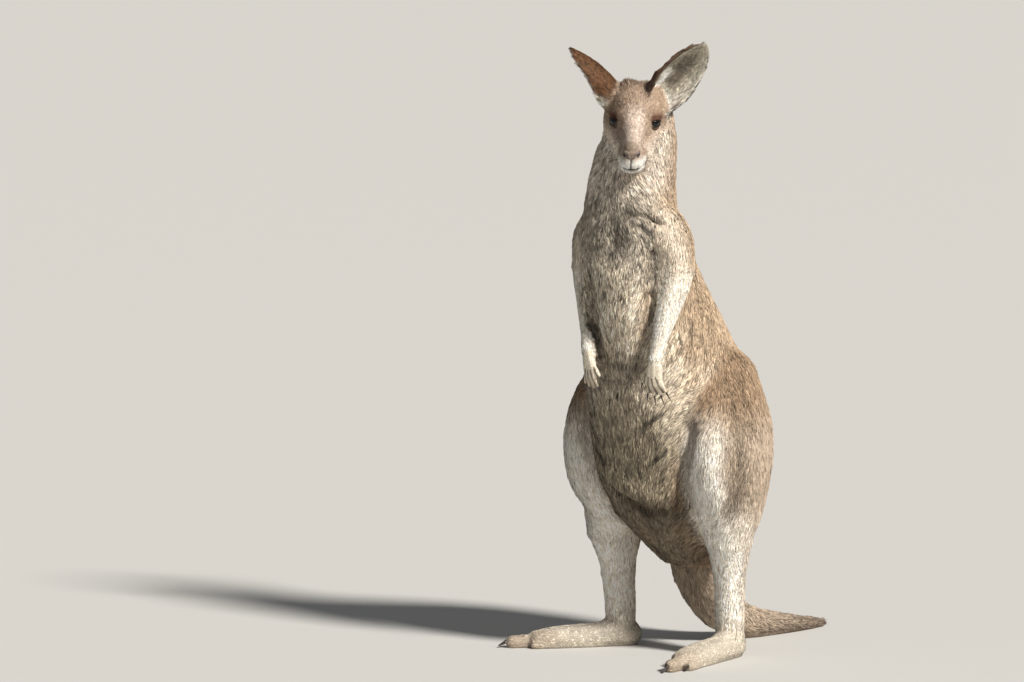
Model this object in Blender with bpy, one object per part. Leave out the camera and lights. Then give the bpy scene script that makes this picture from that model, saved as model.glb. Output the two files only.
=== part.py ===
# A female grey kangaroo, life size, standing upright on both hind feet with the tail laid on the
# floor behind it. The left foot points ahead, the right foot is turned out, the hands hang in front
# of the belly and the head is turned to the animal's left.
#
# The animal faces -Y and its left side is +X. Tables give each section as forward (= -Y) and
# height (= Z), and every outline reaches to the tips of the coat.
import math

import bmesh
import bpy
import numpy as np
from mathutils import Matrix, Vector

GAP = 0.0003            # clearance between pieces that meet
RUN_ROWS = 241          # close rows along each smooth centre line
CAP = (0.5, 0.85)       # how far along a rounded end its rings lie
SMALL_CAP = (0.7,)
HEAD_TURN = 31.5        # degrees to the animal's left
HEAD_NOD = 18           # degrees below level
HEAD_TILT = 2.5         # degrees, left ear down
EYE_POINT = (0.029, 0.175, 1.067)   # midpoint between the eyes: side, forward, height
EYE_CENTRE = (0.0335, -0.003, 0.000)    # from the midpoint: side, forward, height
EYE_RADIUS = 0.0145
FOOT_TURN = {"left": 2, "right": 42}    # degrees outwards
ANKLE = {"left": (0.127, -0.018), "right": (0.138, -0.018)}    # side, forward
THIGH_TURN = 14         # degrees that the knee points outwards
KNEE_FORWARD = -0.006
KNEE = {"left": 0.132, "right": 0.147}  # side of the top of the shank
ELBOW = {"left": (0.112, 0.150, 0.775), "right": (0.098, 0.150, 0.775)}
WRIST = {"left": (0.107, 0.216, 0.612), "right": (0.050, 0.220, 0.618)}

# The trunk and neck, from the crotch to the head: side, forward, height, half width, depth ahead of
# the centre, depth behind it
SPINE = (
    (0.000, -0.070, 0.205, 0.080, 0.075, 0.080),
    (0.000, -0.055, 0.265, 0.112, 0.120, 0.115),
    (0.000, -0.032, 0.340, 0.138, 0.165, 0.150),
    (0.000, -0.010, 0.415, 0.150, 0.182, 0.178),
    (0.000, 0.012, 0.490, 0.150, 0.172, 0.186),
    (0.000, 0.040, 0.560, 0.143, 0.158, 0.173),
    (0.000, 0.072, 0.630, 0.132, 0.142, 0.158),
    (0.000, 0.103, 0.700, 0.119, 0.128, 0.143),
    (0.000, 0.128, 0.770, 0.108, 0.112, 0.128),
    (0.000, 0.145, 0.830, 0.100, 0.095, 0.114),
    (-0.002, 0.150, 0.880, 0.094, 0.082, 0.100),
    (-0.002, 0.148, 0.930, 0.090, 0.075, 0.092),
    (0.001, 0.139, 0.980, 0.084, 0.070, 0.086),
    (0.001, 0.122, 1.025, 0.080, 0.062, 0.070),
    (0.005, 0.104, 1.066, 0.073, 0.044, 0.050),
    (0.000, 0.094, 1.092, 0.058, 0.030, 0.034),
)
NECK_START = 0.74       # share of that length
# The tail runs from its tip to its root: side, forward, height, half width, depth below, depth above
TAIL = (
    (0.056, -0.462, 0.010, 0.009, 0.010, 0.009),
    (0.053, -0.420, 0.014, 0.014, 0.014, 0.013),
    (0.044, -0.360, 0.020, 0.020, 0.020, 0.019),
    (0.029, -0.300, 0.027, 0.026, 0.027, 0.026),
    (0.012, -0.245, 0.036, 0.034, 0.037, 0.034),
    (-0.004, -0.198, 0.058, 0.044, 0.048, 0.043),
    (-0.014, -0.160, 0.100, 0.054, 0.056, 0.052),
    (-0.018, -0.135, 0.150, 0.062, 0.064, 0.060),
    (-0.015, -0.120, 0.210, 0.070, 0.073, 0.069),
    (-0.007, -0.108, 0.275, 0.076, 0.083, 0.079),
    (0.000, -0.095, 0.340, 0.079, 0.090, 0.087),
    (0.000, -0.078, 0.395, 0.077, 0.085, 0.084),
)
TAIL_CUTS = (0.36, 0.66)    # shares of the tail's length where tip, middle and base meet
# The shank: share of the way from ankle to knee, height, half width, depth ahead, depth behind
SHANK = (
    (0.00, 0.034, 0.029, 0.030, 0.028),
    (0.12, 0.075, 0.030, 0.032, 0.034),
    (0.30, 0.120, 0.030, 0.034, 0.036),
    (0.52, 0.165, 0.032, 0.038, 0.042),
    (0.76, 0.205, 0.038, 0.049, 0.058),
    (1.00, 0.240, 0.046, 0.066, 0.080),
)
# side, forward, height, half width, depth ahead, depth behind
THIGH = (
    (0.134, -0.006, 0.285, 0.059, 0.092, 0.109),
    (0.131, -0.005, 0.335, 0.068, 0.121, 0.143),
    (0.129, -0.006, 0.400, 0.073, 0.140, 0.166),
    (0.124, -0.014, 0.465, 0.071, 0.141, 0.170),
    (0.114, -0.028, 0.525, 0.062, 0.120, 0.152),
    (0.102, -0.044, 0.575, 0.048, 0.086, 0.114),
)
THIGH_START = 0.37      # share of the leg's length from ankle to hip
# side, forward, height, half width, depth ahead, depth behind
UPPER_ARM = (
    (0.109, 0.146, 0.802, 0.038, 0.039, 0.041),
    (0.096, 0.149, 0.845, 0.040, 0.047, 0.052),
    (0.078, 0.150, 0.885, 0.031, 0.040, 0.048),
)
UPPER_ARM_START = 0.64  # share of the arm's length from wrist to shoulder
SHOULDER_DRAWN_IN = {"left": 0.0, "right": 0.011}  # how far each upper arm is held in to the body
# share of the way from wrist to elbow, half width, depth ahead, depth behind
FOREARM = (
    (0.00, 0.0155, 0.0135, 0.0135),
    (0.22, 0.0170, 0.0150, 0.0155),
    (0.48, 0.0235, 0.0205, 0.0225),
    (0.76, 0.0300, 0.0270, 0.0300),
    (1.00, 0.0360, 0.0330, 0.0360),
)
# The head from the back of the skull to the nose, measured from the midpoint between the eyes:
# forward, half width, depth below, height above, and how much wider the lower half is
HEAD = (
    (-0.104, 0.0400, 0.045, 0.018, 0.00),
    (-0.088, 0.0550, 0.062, 0.044, 0.00),
    (-0.066, 0.0640, 0.076, 0.058, 0.00),
    (-0.042, 0.0640, 0.084, 0.058, 0.02),
    (-0.020, 0.0560, 0.085, 0.050, 0.05),
    (0.000, 0.0465, 0.083, 0.040, 0.10),
    (0.020, 0.0385, 0.080, 0.028, 0.18),
    (0.040, 0.0335, 0.077, 0.017, 0.26),
    (0.060, 0.0295, 0.076, 0.008, 0.32),
    (0.080, 0.0265, 0.075, 0.000, 0.34),
    (0.097, 0.0220, 0.069, -0.006, 0.28),
    (0.107, 0.0165, 0.058, -0.014, 0.15),
)
# forward of the ankle, half width, height
FOOT = (
    (-0.036, 0.021, 0.042),
    (-0.018, 0.028, 0.054),
    (0.010, 0.031, 0.054),
    (0.045, 0.031, 0.049),
    (0.085, 0.031, 0.046),
    (0.125, 0.032, 0.043),
    (0.155, 0.031, 0.039),
    (0.178, 0.026, 0.034),
)
# start and end forward of the ankle, start and end to the outer side, half width, height
TOES = {
    "fourth": ((0.155, 0.002), (0.226, 0.004), 0.0155, 0.030),
    "fifth": ((0.135, 0.019), (0.192, 0.027), 0.0110, 0.023),
    "inner": ((0.125, -0.020), (0.184, -0.021), 0.0085, 0.018),
}
TOE_CLAWS = {"fourth": (0.034, 0.0085), "fifth": (0.024, 0.0060), "inner": (0.014, 0.0035)}
# the hand's finger roots across the palm, and each finger's length, from the thumb to the fifth
FINGER_SPREAD = (-0.017, -0.0095, -0.001, 0.0075, 0.0150)
FINGER_LENGTH = (0.018, 0.025, 0.028, 0.026, 0.020)
FINGER_FAN = (-26, -11, 0, 11, 24)      # degrees
FINGER_ROOT = 0.044     # below the wrist
THUMB_ROOT = 0.032
FINGER_RADIUS = 0.0052
FINGER_TAPER = 0.0008   # how much thinner the finger is at its tip
FINGER_CURL = 0.18      # backwards, as a share of the finger's length
CLAW_LENGTH = 0.021
CLAW_RADIUS = 0.0034
CLAW_SINK = 0.002       # how far the claw's root lies inside the finger
CLAW_BEND = 0.35        # share of its length that a claw's tip droops
CLAW_TAPER = 0.82       # share of its radius that a claw loses towards its tip
# distance below the wrist, half width, half thickness
PALM = (
    (0.052, 0.0185, 0.0085),
    (0.034, 0.0190, 0.0100),
    (0.014, 0.0165, 0.0115),
    (0.000, 0.0140, 0.0120),
)
# share of the ear's length, half width and half of the angle that the leaf bends through
EAR = (
    (0.00, 0.030, 130),
    (0.14, 0.034, 112),
    (0.30, 0.039, 92),
    (0.50, 0.039, 76),
    (0.70, 0.034, 60),
    (0.86, 0.024, 48),
    (0.96, 0.012, 40),
    (1.00, 0.004, 38),
)
EAR_COLUMNS = 8
EAR_BOW = 0.010         # how far the middle of the ear bows away from its hollow side
EAR_THICKNESS = 0.0045
# root, tip and the way the hollow faces, in the head's frame: side, back, up
EARS = {
    "left": ((0.034, 0.064, 0.032), (0.130, 0.060, 0.145), (0.25, -1.0, 0.0)),
    "right": ((-0.030, 0.068, 0.041), (-0.134, 0.074, 0.121), (-0.70, -0.10, -0.70)),
}
EYE_COLOUR = (0.012, 0.008, 0.006)
COAT_COLOUR = (0.30, 0.235, 0.17)
EAR_COLOUR = (0.34, 0.24, 0.16)
PALE_COLOUR = (0.52, 0.45, 0.36)
CLAW_COLOUR = (0.030, 0.025, 0.022)


def clear_scene():
    for old in list(bpy.data.objects):
        bpy.data.objects.remove(old, do_unlink=True)


def material(name, colour, roughness):
    made = bpy.data.materials.new(name)
    made.use_nodes = True
    shader = made.node_tree.nodes["Principled BSDF"]
    shader.inputs["Base Color"].default_value = (*colour, 1)
    shader.inputs["Roughness"].default_value = roughness
    shader.inputs["Metallic"].default_value = 0
    return made


def ahead(side, forward, height):
    """A point from its distance to the left, forward and up."""
    return (side, -forward, height)


def run(rows):
    """Rows joined by smooth curves through them, as many close rows with their direction added.

    A row is x, y, z, half width, depth ahead, depth behind and, for some, how much wider it is ahead.
    """
    rows = np.array(rows, float)
    if rows.shape[1] == 6:
        rows = np.hstack([rows, np.zeros((len(rows), 1))])
    steps = np.linalg.norm(np.diff(rows[:, :3], axis=0), axis=1)
    at = np.concatenate([[0], np.cumsum(steps)])
    slope = np.gradient(rows, at, axis=0)
    want = np.linspace(0, at[-1], RUN_ROWS)
    low = np.clip(np.searchsorted(at, want, side="right") - 1, 0, len(at) - 2)
    span = (at[low + 1] - at[low])[:, None]
    s = (want - at[low])[:, None] / span
    dense = (
        (2 * s**3 - 3 * s**2 + 1) * rows[low]
        + (s**3 - 2 * s**2 + s) * span * slope[low]
        + (3 * s**2 - 2 * s**3) * rows[low + 1]
        + (s**3 - s**2) * span * slope[low + 1]
    )
    along = np.gradient(dense[:, :3], axis=0)
    along /= np.linalg.norm(along, axis=1)[:, None]
    return np.hstack([dense, along])


def lengths(whole, *shares):
    """One run parted at the given shares of its length, with the gap between its lengths."""
    ends = [0, *(round((RUN_ROWS - 1) * share) for share in shares), RUN_ROWS - 1]
    parts = [whole[start : end + 1].copy() for start, end in zip(ends, ends[1:])]
    for part in parts[1:]:
        part[0, :3] += part[0, 7:] * GAP
    return parts


def section(half_width, front, back, pear, sides, power):
    """A closed outline whose front and back halves differ. Power 2 is an ellipse.

    Pear widens the front half and narrows the back half.
    """
    turn = np.linspace(0, 2 * math.pi, sides, endpoint=False)
    across = np.sign(np.cos(turn)) * np.abs(np.cos(turn)) ** (2 / power)
    deep = np.sign(np.sin(turn)) * np.abs(np.sin(turn)) ** (2 / power)
    return across * half_width * (1 + pear * deep), deep * np.where(deep > 0, front, back)


def loft(name, path, count, sides, side=(1, 0, 0), power=2.15, caps=(0.5, 0.5), lean=CAP, floor=None):
    """A closed tube of count rings along a run or rows.

    Its front is the side direction crossed with the way the rows run. A cap is rounded, as deep as
    its share of the end's half width, or flat at 0. Points under the floor are laid on it.
    """
    if len(path[0]) < 10:
        path = run(path)
    rows = path[np.linspace(0, len(path) - 1, count).round().astype(int)]
    centres, pear, along = rows[:, :3], rows[:, 6], rows[:, 7:]
    across = np.array(side) - (along @ np.array(side))[:, None] * along
    across /= np.linalg.norm(across, axis=1)[:, None]
    front = np.cross(across, along)

    rings = [(0, 1, i) for i in range(count)]
    if caps[0]:
        rings = [(-k * caps[0] * rows[0, 3], math.sqrt(1 - k * k), 0) for k in reversed(lean)] + rings
    if caps[1]:
        rings += [(k * caps[1] * rows[-1, 3], math.sqrt(1 - k * k), count - 1) for k in lean]
    shell = bmesh.new()
    loops = []
    for shift, scale, i in rings:
        u, v = section(*(rows[i, 3:6] * scale), pear[i], sides, power)
        ring = centres[i] + along[i] * shift + np.outer(u, across[i]) + np.outer(v, front[i])
        loops.append([shell.verts.new(p) for p in ring])
    for lower, upper in zip(loops, loops[1:]):
        for i in range(sides):
            j = (i + 1) % sides
            shell.faces.new((lower[i], lower[j], upper[j], upper[i]))
    for loop, end, deep in ((loops[0], 0, -caps[0]), (loops[-1], -1, caps[1])):
        if deep:
            pole = shell.verts.new(centres[end] + along[end] * deep * rows[end, 3])
            for i in range(sides):
                shell.faces.new((loop[i], loop[(i + 1) % sides], pole))
        else:
            shell.faces.new(loop)
    if floor is not None:
        for vertex in shell.verts:
            vertex.co.z = max(vertex.co.z, floor)
    return finished(name, shell)


def finished(name, shell):
    """An object of triangles made from a bmesh, with its faces pointing out and shaded smooth."""
    bmesh.ops.remove_doubles(shell, verts=shell.verts, dist=1e-5)
    bmesh.ops.dissolve_degenerate(shell, edges=shell.edges, dist=1e-5)
    bmesh.ops.triangulate(shell, faces=shell.faces)
    bmesh.ops.recalc_face_normals(shell, faces=shell.faces)
    mesh = bpy.data.meshes.new(name)
    shell.to_mesh(mesh)
    shell.free()
    mesh.shade_smooth()
    made = bpy.data.objects.new(name, mesh)
    bpy.context.scene.collection.objects.link(made)
    return made


def hide(helper):
    helper.hide_render = True
    helper.display_type = "WIRE"
    return helper


def grown(original):
    """A hidden copy of a piece's uncut shape, larger by the gap, to cut its neighbours with."""
    helper = bpy.data.objects.new(original.name + "_cutter", original.data)
    bpy.context.scene.collection.objects.link(helper)
    swell = helper.modifiers.new("Gap", "DISPLACE")
    swell.strength = GAP
    swell.mid_level = 0
    return hide(helper)


def combine(piece, operation, *others):
    for other in others:
        cut = piece.modifiers.new(operation.title(), "BOOLEAN")
        cut.operation = operation
        cut.solver = "EXACT"
        cut.object = other


def mirrored(rows, sign):
    """Rows that start with side, forward, height, as points on the left (+1) or right (-1)."""
    return [(*ahead(sign * row[0], row[1], row[2]), *row[3:]) for row in rows]


def head_frame():
    """The head's placing: the midpoint between the eyes, left, muzzle direction and up."""
    turn = Matrix.Rotation(math.radians(HEAD_TURN), 4, "Z")
    nod = Matrix.Rotation(math.radians(HEAD_NOD), 4, "X")
    tilt = Matrix.Rotation(math.radians(HEAD_TILT), 4, "Y")
    return Matrix.Translation(ahead(*EYE_POINT)) @ turn @ nod @ tilt


def make_head(frame):
    left = frame.to_3x3() @ Vector((1, 0, 0))
    rows = []
    for forward, half_width, below, above, jowl in HEAD:
        middle = (above - below) / 2
        half_depth = (above + below) / 2
        centre = frame @ Vector((0, -forward, middle))
        rows.append((*centre, half_width, half_depth, half_depth, jowl))
    return loft("head", rows, 13, 20, side=left, power=2.3, caps=(0.35, 0.45))


def make_eye(name, frame, sign):
    ball = bmesh.new()
    bmesh.ops.create_uvsphere(ball, u_segments=10, v_segments=7, radius=EYE_RADIUS)
    eye = finished(name, ball)
    side, forward, height = EYE_CENTRE
    eye.location = frame @ Vector((sign * side, -forward, height))
    return eye


def make_ear(name, frame, root, tip, opening):
    """A cupped leaf: rolled at the root, widest in the middle, and round at the tip."""
    root = Vector(root)
    along = Vector(tip) - root
    length = along.length
    along.normalize()
    opening = Vector(opening)
    opening = (opening - opening.dot(along) * along).normalized()
    across = along.cross(opening)
    shell = bmesh.new()
    grid = []
    for share, half_width, bend in EAR:
        bend = math.radians(bend)
        radius = half_width / math.sin(min(bend, math.pi / 2))
        row = []
        for turn in np.linspace(-bend, bend, EAR_COLUMNS):
            hollow = radius * (1 - math.cos(turn)) - EAR_BOW * math.sin(math.pi * share)
            aside = radius * math.sin(turn)
            point = root + along * (share * length) + across * aside + opening * hollow
            row.append(shell.verts.new(frame @ point))
        grid.append(row)
    for lower, upper in zip(grid, grid[1:]):
        for i in range(len(lower) - 1):
            shell.faces.new((lower[i], lower[i + 1], upper[i + 1], upper[i]))
    ear = finished(name, shell)
    thick = ear.modifiers.new("Thickness", "SOLIDIFY")
    thick.thickness = EAR_THICKNESS
    thick.offset = 0
    return ear


def claw_rows(root, direction, droop, length, radius):
    """Rows of a claw that bends towards droop and ends in a point."""
    rows = []
    for s in np.linspace(0, 1, 4):
        bend = Vector(droop) * (CLAW_BEND * length * s * s)
        centre = Vector(root) + Vector(direction) * (s * length) + bend
        thick = radius * (1 - CLAW_TAPER * s)
        rows.append((*centre, 0.75 * thick, thick, thick))
    return rows


def make_foot(side, sign):
    """The long foot with its big fourth toe, the fifth outside it and the joined toes inside."""
    turn = Matrix.Rotation(sign * math.radians(FOOT_TURN[side]), 4, "Z")
    out, forward = ANKLE[side]
    frame = Matrix.Translation(ahead(sign * out, forward, 0)) @ turn
    left = frame.to_3x3() @ Vector((1, 0, 0))
    rows = []
    for forward, half_width, top in FOOT:
        centre = frame @ Vector((0, -forward, top * 0.42))
        rows.append((*centre, half_width, top * 0.62, top * 0.58))
    foot = loft(
        f"foot_{side}", rows, 8, 12, side=left, power=2.4, caps=(0.45, 0.5), lean=SMALL_CAP, floor=0
    )
    claws = []
    for toe, ((start, start_out), (end, end_out), half_width, top) in TOES.items():
        rows = []
        for s in (0, 0.5, 1):
            forward = start + (end - start) * s
            out = sign * (start_out + (end_out - start_out) * s)
            arch = top * (1 - 0.12 * s)
            centre = frame @ Vector((out, -forward, arch * 0.45))
            rows.append((*centre, half_width * (1 - 0.12 * s), arch * 0.6, arch * 0.55))
        piece = loft(
            f"toe_{toe}_{side}", rows, 3, 8, side=left, caps=(0.5, 0.8), lean=SMALL_CAP, floor=0
        )
        combine(foot, "UNION", hide(piece))
        length, radius = TOE_CLAWS[toe]
        direction = turn @ Vector((sign * (end_out - start_out), start - end, 0)).normalized()
        root = frame @ Vector((sign * end_out, -(end - 0.25 * length), top * 0.52))
        rows = claw_rows(root, direction, Vector((0, 0, -0.9)), length, radius)
        claw = loft(f"claw_{toe}_{side}", rows, 3, 6, side=left, caps=(0.5, 0.8), lean=(), floor=0)
        combine(claw, "DIFFERENCE", grown(piece))
        claws.append(claw)
    return foot, claws


def make_hand(side, sign):
    """The palm and five fingers, hanging from the wrist with the back of the hand ahead."""
    wrist = Vector(ahead(sign * WRIST[side][0], *WRIST[side][1:]))
    drop = Vector((-sign * 0.10, 0.06, -1)).normalized()
    across = Vector((sign * 0.96, 0.28, 0))
    across = (across - across.dot(drop) * drop).normalized()
    palm = []
    for s, half_width, thick in PALM:
        palm.append((*(wrist + drop * s), half_width, thick, thick))
    hand = loft(f"hand_{side}", palm, 4, 8, side=across, caps=(0.3, 0.3), lean=SMALL_CAP)
    claws = []
    for number, (shift, length, fan) in enumerate(zip(FINGER_SPREAD, FINGER_LENGTH, FINGER_FAN), 1):
        spread = math.radians(fan)
        direction = (drop * math.cos(spread) + across * math.sin(spread)).normalized()
        root = wrist + drop * (THUMB_ROOT if number == 1 else FINGER_ROOT) + across * shift
        curl = Vector((0, FINGER_CURL, 0))
        rows = []
        for s in (1, 0.6, 0.25, 0):
            centre = root + direction * (length * s) + curl * (length * s * s)
            thick = FINGER_RADIUS - FINGER_TAPER * s
            rows.append((*centre, thick, thick, thick))
        piece = loft(f"finger_{number}_{side}", rows, 3, 6, side=across, caps=(0.8, 0.5), lean=())
        combine(hand, "UNION", hide(piece))
        tip = Vector(rows[0][:3]) - direction * CLAW_SINK
        along = (direction + curl).normalized()
        points = claw_rows(tip, along, Vector((0, 0.6, -0.3)), CLAW_LENGTH, CLAW_RADIUS)
        claw = loft(f"claw_{number}_{side}", points, 3, 6, side=across, caps=(0.5, 0.8), lean=())
        combine(claw, "DIFFERENCE", grown(piece))
        claws.append(claw)
    return hand, claws


def level_and_centre():
    """Puts the origin under the middle of the whole animal's box, at the floor."""
    bpy.context.view_layer.update()
    graph = bpy.context.evaluated_depsgraph_get()
    low, high = Vector((9, 9, 9)), Vector((-9, -9, -9))
    for piece in bpy.data.objects:
        if piece.type != "MESH" or piece.hide_render:
            continue
        solid = piece.evaluated_get(graph)
        for corner in solid.data.vertices:
            spot = solid.matrix_world @ corner.co
            low = Vector(map(min, low, spot))
            high = Vector(map(max, high, spot))
    shift = Vector((-(low.x + high.x) / 2, -(low.y + high.y) / 2, -low.z))
    for piece in bpy.data.objects:
        piece.location += shift


def main():
    clear_scene()
    coat = material("coat_grey", COAT_COLOUR, 0.9)
    ear_coat = material("coat_ear", EAR_COLOUR, 0.9)
    pale = material("coat_pale", PALE_COLOUR, 0.9)
    dark = material("claw_horn", CLAW_COLOUR, 0.45)
    glossy = material("eye_dark", EYE_COLOUR, 0.08)

    trunk_run, neck_run = lengths(run(mirrored(SPINE, 1)), NECK_START)
    trunk = loft("trunk", trunk_run, 12, 18, power=2.3, caps=(0.45, 0))
    neck = loft("neck", neck_run, 6, 16, power=2.3, caps=(0, 0.3))

    body_cutter = grown(trunk)
    combine(body_cutter, "UNION", grown(neck))
    frame = head_frame()
    head = make_head(frame)
    combine(neck, "DIFFERENCE", grown(head))
    neck_head_cutter = grown(head)
    combine(neck_head_cutter, "UNION", grown(neck))
    eyes = []
    for side, sign in (("left", 1), ("right", -1)):
        eye = make_eye(f"eye_{side}", frame, sign)
        eye_cutter = grown(eye)
        eye_cutter.location = eye.location
        combine(head, "DIFFERENCE", eye_cutter)
        eyes.append(eye)
    ears = []
    for side, (root, tip, opening) in EARS.items():
        ear = make_ear(f"ear_{side}", frame, root, tip, opening)
        combine(ear, "DIFFERENCE", neck_head_cutter)
        ears.append(ear)

    tip_run, middle_run, base_run = lengths(run(mirrored(TAIL, 1)), *TAIL_CUTS)
    tail_tip = loft("tail_tip", tip_run, 7, 12, caps=(0.9, 0), floor=0)
    tail_middle = loft("tail_middle", middle_run, 7, 14, caps=(0, 0), floor=0)
    tail_base = loft("tail_base", base_run, 7, 16, caps=(0, 0.5), floor=0)
    combine(tail_base, "DIFFERENCE", grown(trunk))

    pieces = [trunk, neck, head, tail_tip, tail_middle, tail_base]
    pale_pieces, claws = [], []
    turned = math.radians(THIGH_TURN)
    for side, sign in (("left", 1), ("right", -1)):
        across = (math.cos(turned), sign * math.sin(turned), 0)
        shank_rows = []
        for share, height, *widths in SHANK:
            out = ANKLE[side][0] + (KNEE[side] - ANKLE[side][0]) * share
            forward = ANKLE[side][1] + (KNEE_FORWARD - ANKLE[side][1]) * share
            shank_rows.append((*ahead(sign * out, forward, height), *widths))
        shank_run, thigh_run = lengths(run(shank_rows + mirrored(THIGH, sign)), THIGH_START)
        shank = loft(f"shank_{side}", shank_run, 7, 16, side=across, power=2.3, caps=(0.4, 0))
        thigh = loft(f"thigh_{side}", thigh_run, 10, 18, side=across, power=2.3, caps=(0, 0.9))
        leg_cutter = grown(thigh)
        combine(leg_cutter, "UNION", grown(shank))
        combine(trunk, "DIFFERENCE", leg_cutter)
        combine(tail_base, "DIFFERENCE", leg_cutter)
        foot, foot_claws = make_foot(side, sign)
        combine(shank, "DIFFERENCE", grown(foot))
        elbow, wrist = (Vector(ahead(sign * spot[0], *spot[1:])) for spot in (ELBOW[side], WRIST[side]))
        arm_rows = [(*wrist.lerp(elbow, share), *widths) for share, *widths in FOREARM]
        upper_rows = [(out - SHOULDER_DRAWN_IN[side], *rest) for out, *rest in UPPER_ARM]
        forearm_run, upper_run = lengths(run(arm_rows + mirrored(upper_rows, sign)), UPPER_ARM_START)
        forearm = loft(f"forearm_{side}", forearm_run, 6, 12, caps=(0.3, 0))
        upper_arm = loft(f"upper_arm_{side}", upper_run, 5, 12, caps=(0, 0.6))
        for piece in (forearm, upper_arm):
            combine(piece, "DIFFERENCE", body_cutter)
        hand, hand_claws = make_hand(side, sign)
        combine(hand, "DIFFERENCE", grown(forearm))
        pieces += [thigh, upper_arm]
        pale_pieces += [shank, foot, forearm, hand]
        claws += foot_claws + hand_claws
    for piece in pieces:
        piece.data.materials.append(coat)
    for piece in pale_pieces:
        piece.data.materials.append(pale)
    for piece in claws:
        piece.data.materials.append(dark)
    for piece in ears:
        piece.data.materials.append(ear_coat)
    for piece in eyes:
        piece.data.materials.append(glossy)
    level_and_centre()


main()
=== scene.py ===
# Looks of a life-size grey kangaroo model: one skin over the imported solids, a coat of tufts on it,
# eyes with lids, nose leather, claws and whiskers, on a plain studio floor.
# Lengths are in metres. The animal faces -Y, its left is +X and up is +Z.
import math
import time

import bmesh
import bpy
import numpy as np
from mathutils import Matrix, Vector
from mathutils.bvhtree import BVHTree
from mathutils.kdtree import KDTree


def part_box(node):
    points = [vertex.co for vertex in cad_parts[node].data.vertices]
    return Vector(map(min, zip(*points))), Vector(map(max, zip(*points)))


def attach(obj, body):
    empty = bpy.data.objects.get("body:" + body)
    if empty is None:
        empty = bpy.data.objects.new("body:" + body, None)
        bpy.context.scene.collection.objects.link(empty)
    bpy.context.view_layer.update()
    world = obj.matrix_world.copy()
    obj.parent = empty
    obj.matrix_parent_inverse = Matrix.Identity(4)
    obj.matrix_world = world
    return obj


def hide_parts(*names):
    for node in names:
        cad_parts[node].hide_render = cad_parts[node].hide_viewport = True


began = time.perf_counter()


def report(stage):
    print(f"{time.perf_counter() - began:6.1f} s  {stage}", flush=True)


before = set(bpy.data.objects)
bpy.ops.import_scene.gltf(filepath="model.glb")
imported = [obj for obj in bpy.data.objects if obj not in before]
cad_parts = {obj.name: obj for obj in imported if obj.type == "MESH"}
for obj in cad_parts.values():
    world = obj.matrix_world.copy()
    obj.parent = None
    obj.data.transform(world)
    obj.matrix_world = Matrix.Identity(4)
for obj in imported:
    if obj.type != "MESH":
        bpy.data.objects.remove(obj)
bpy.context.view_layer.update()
report("frame loaded")

# small array tools


def pointsOf(mesh):
    # the vertices' places as one array
    found = np.empty(len(mesh.vertices) * 3, np.float32)
    mesh.vertices.foreach_get("co", found)
    return found.reshape(-1, 3).astype(float)


def normalsOf(mesh):
    # the vertices' smooth normals as one array
    found = np.empty(len(mesh.vertices) * 3, np.float32)
    mesh.vertex_normals.foreach_get("vector", found)
    return found.reshape(-1, 3).astype(float)


def unit(vectors):
    # vectors divided by their own lengths
    return vectors / np.maximum(np.linalg.norm(vectors, axis=-1, keepdims=True), 1e-12)


def ease(low, high, values):
    # 0 below low, 1 above high and the curve 3t^2 - 2t^3 between them
    t = np.clip((values - low) / (high - low), 0, 1)
    return t * t * (3 - 2 * t)


def mixed(first, second, share):
    # first where share is 0, second where it is 1, straight between them
    share = np.asarray(share)[..., None]
    return first * (1 - share) + np.asarray(second) * share


def latticeNoise(points, cell, seed):
    # random values from -1 to 1 at the corners of cubes this wide, blended smoothly inside each cube
    place = points / cell
    corner = np.floor(place).astype(np.int64)
    inside = place - corner
    inside = inside * inside * (3 - 2 * inside)
    total = np.zeros(len(points))
    for number in range(8):
        step = np.array([(number >> axis) & 1 for axis in range(3)])
        at = corner + step
        mix = (at[:, 0] * 73856093) ^ (at[:, 1] * 19349663) ^ (at[:, 2] * 83492791) ^ (seed * 7919)
        mix = (mix ^ (mix >> 13)) * 1274126177
        value = ((mix ^ (mix >> 16)) & 0xFFFF) / 0x7FFF - 1
        total += value * np.prod(np.where(step, inside, 1 - inside), axis=1)
    return total


def nearSegment(points, start, end):
    # distance from each point to the straight line between two points
    start, end = np.asarray(start, float), np.asarray(end, float)
    line = end - start
    share = np.clip(((points - start) @ line) / max(line @ line, 1e-12), 0, 1)
    return np.linalg.norm(points - start - share[:, None] * line, axis=1)


def nearLine(points, spots):
    # distance from each point to the nearest of the straight lines from spot to spot
    ends = spots[1:] or spots
    return np.min([nearSegment(points, start, end) for start, end in zip(spots, ends)], axis=0)


def falloff(distance, width):
    # 1 at no distance, falling off as exp(-(distance / width)^2)
    return np.exp(-((distance / width) ** 2))


def makeMesh(name, places, faces):
    # a mesh from arrays of places and of faces that all have as many corners
    mesh = bpy.data.meshes.new(name)
    mesh.vertices.add(len(places))
    mesh.vertices.foreach_set("co", np.ascontiguousarray(places, np.float32).ravel())
    mesh.loops.add(faces.size)
    mesh.loops.foreach_set("vertex_index", np.ascontiguousarray(faces, np.int32).ravel())
    mesh.polygons.add(len(faces))
    mesh.polygons.foreach_set("loop_start", np.arange(0, faces.size, faces.shape[1], dtype=np.int32))
    mesh.update(calc_edges=True)
    mesh.shade_smooth()
    return mesh


def moveTo(mesh, places):
    # moves the mesh's vertices to these places
    mesh.vertices.foreach_set("co", places.astype(np.float32).ravel())
    mesh.update()


def treeOf(places):
    # a tree that finds the nearest of these places
    tree = KDTree(len(places))
    for number, spot in enumerate(places.tolist()):
        tree.insert(spot, number)
    tree.balance()
    return tree


def nearestIn(tree, places):
    # the number of the tree's place nearest to each of these
    return np.array([tree.find(spot)[1] for spot in places.tolist()])


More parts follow.
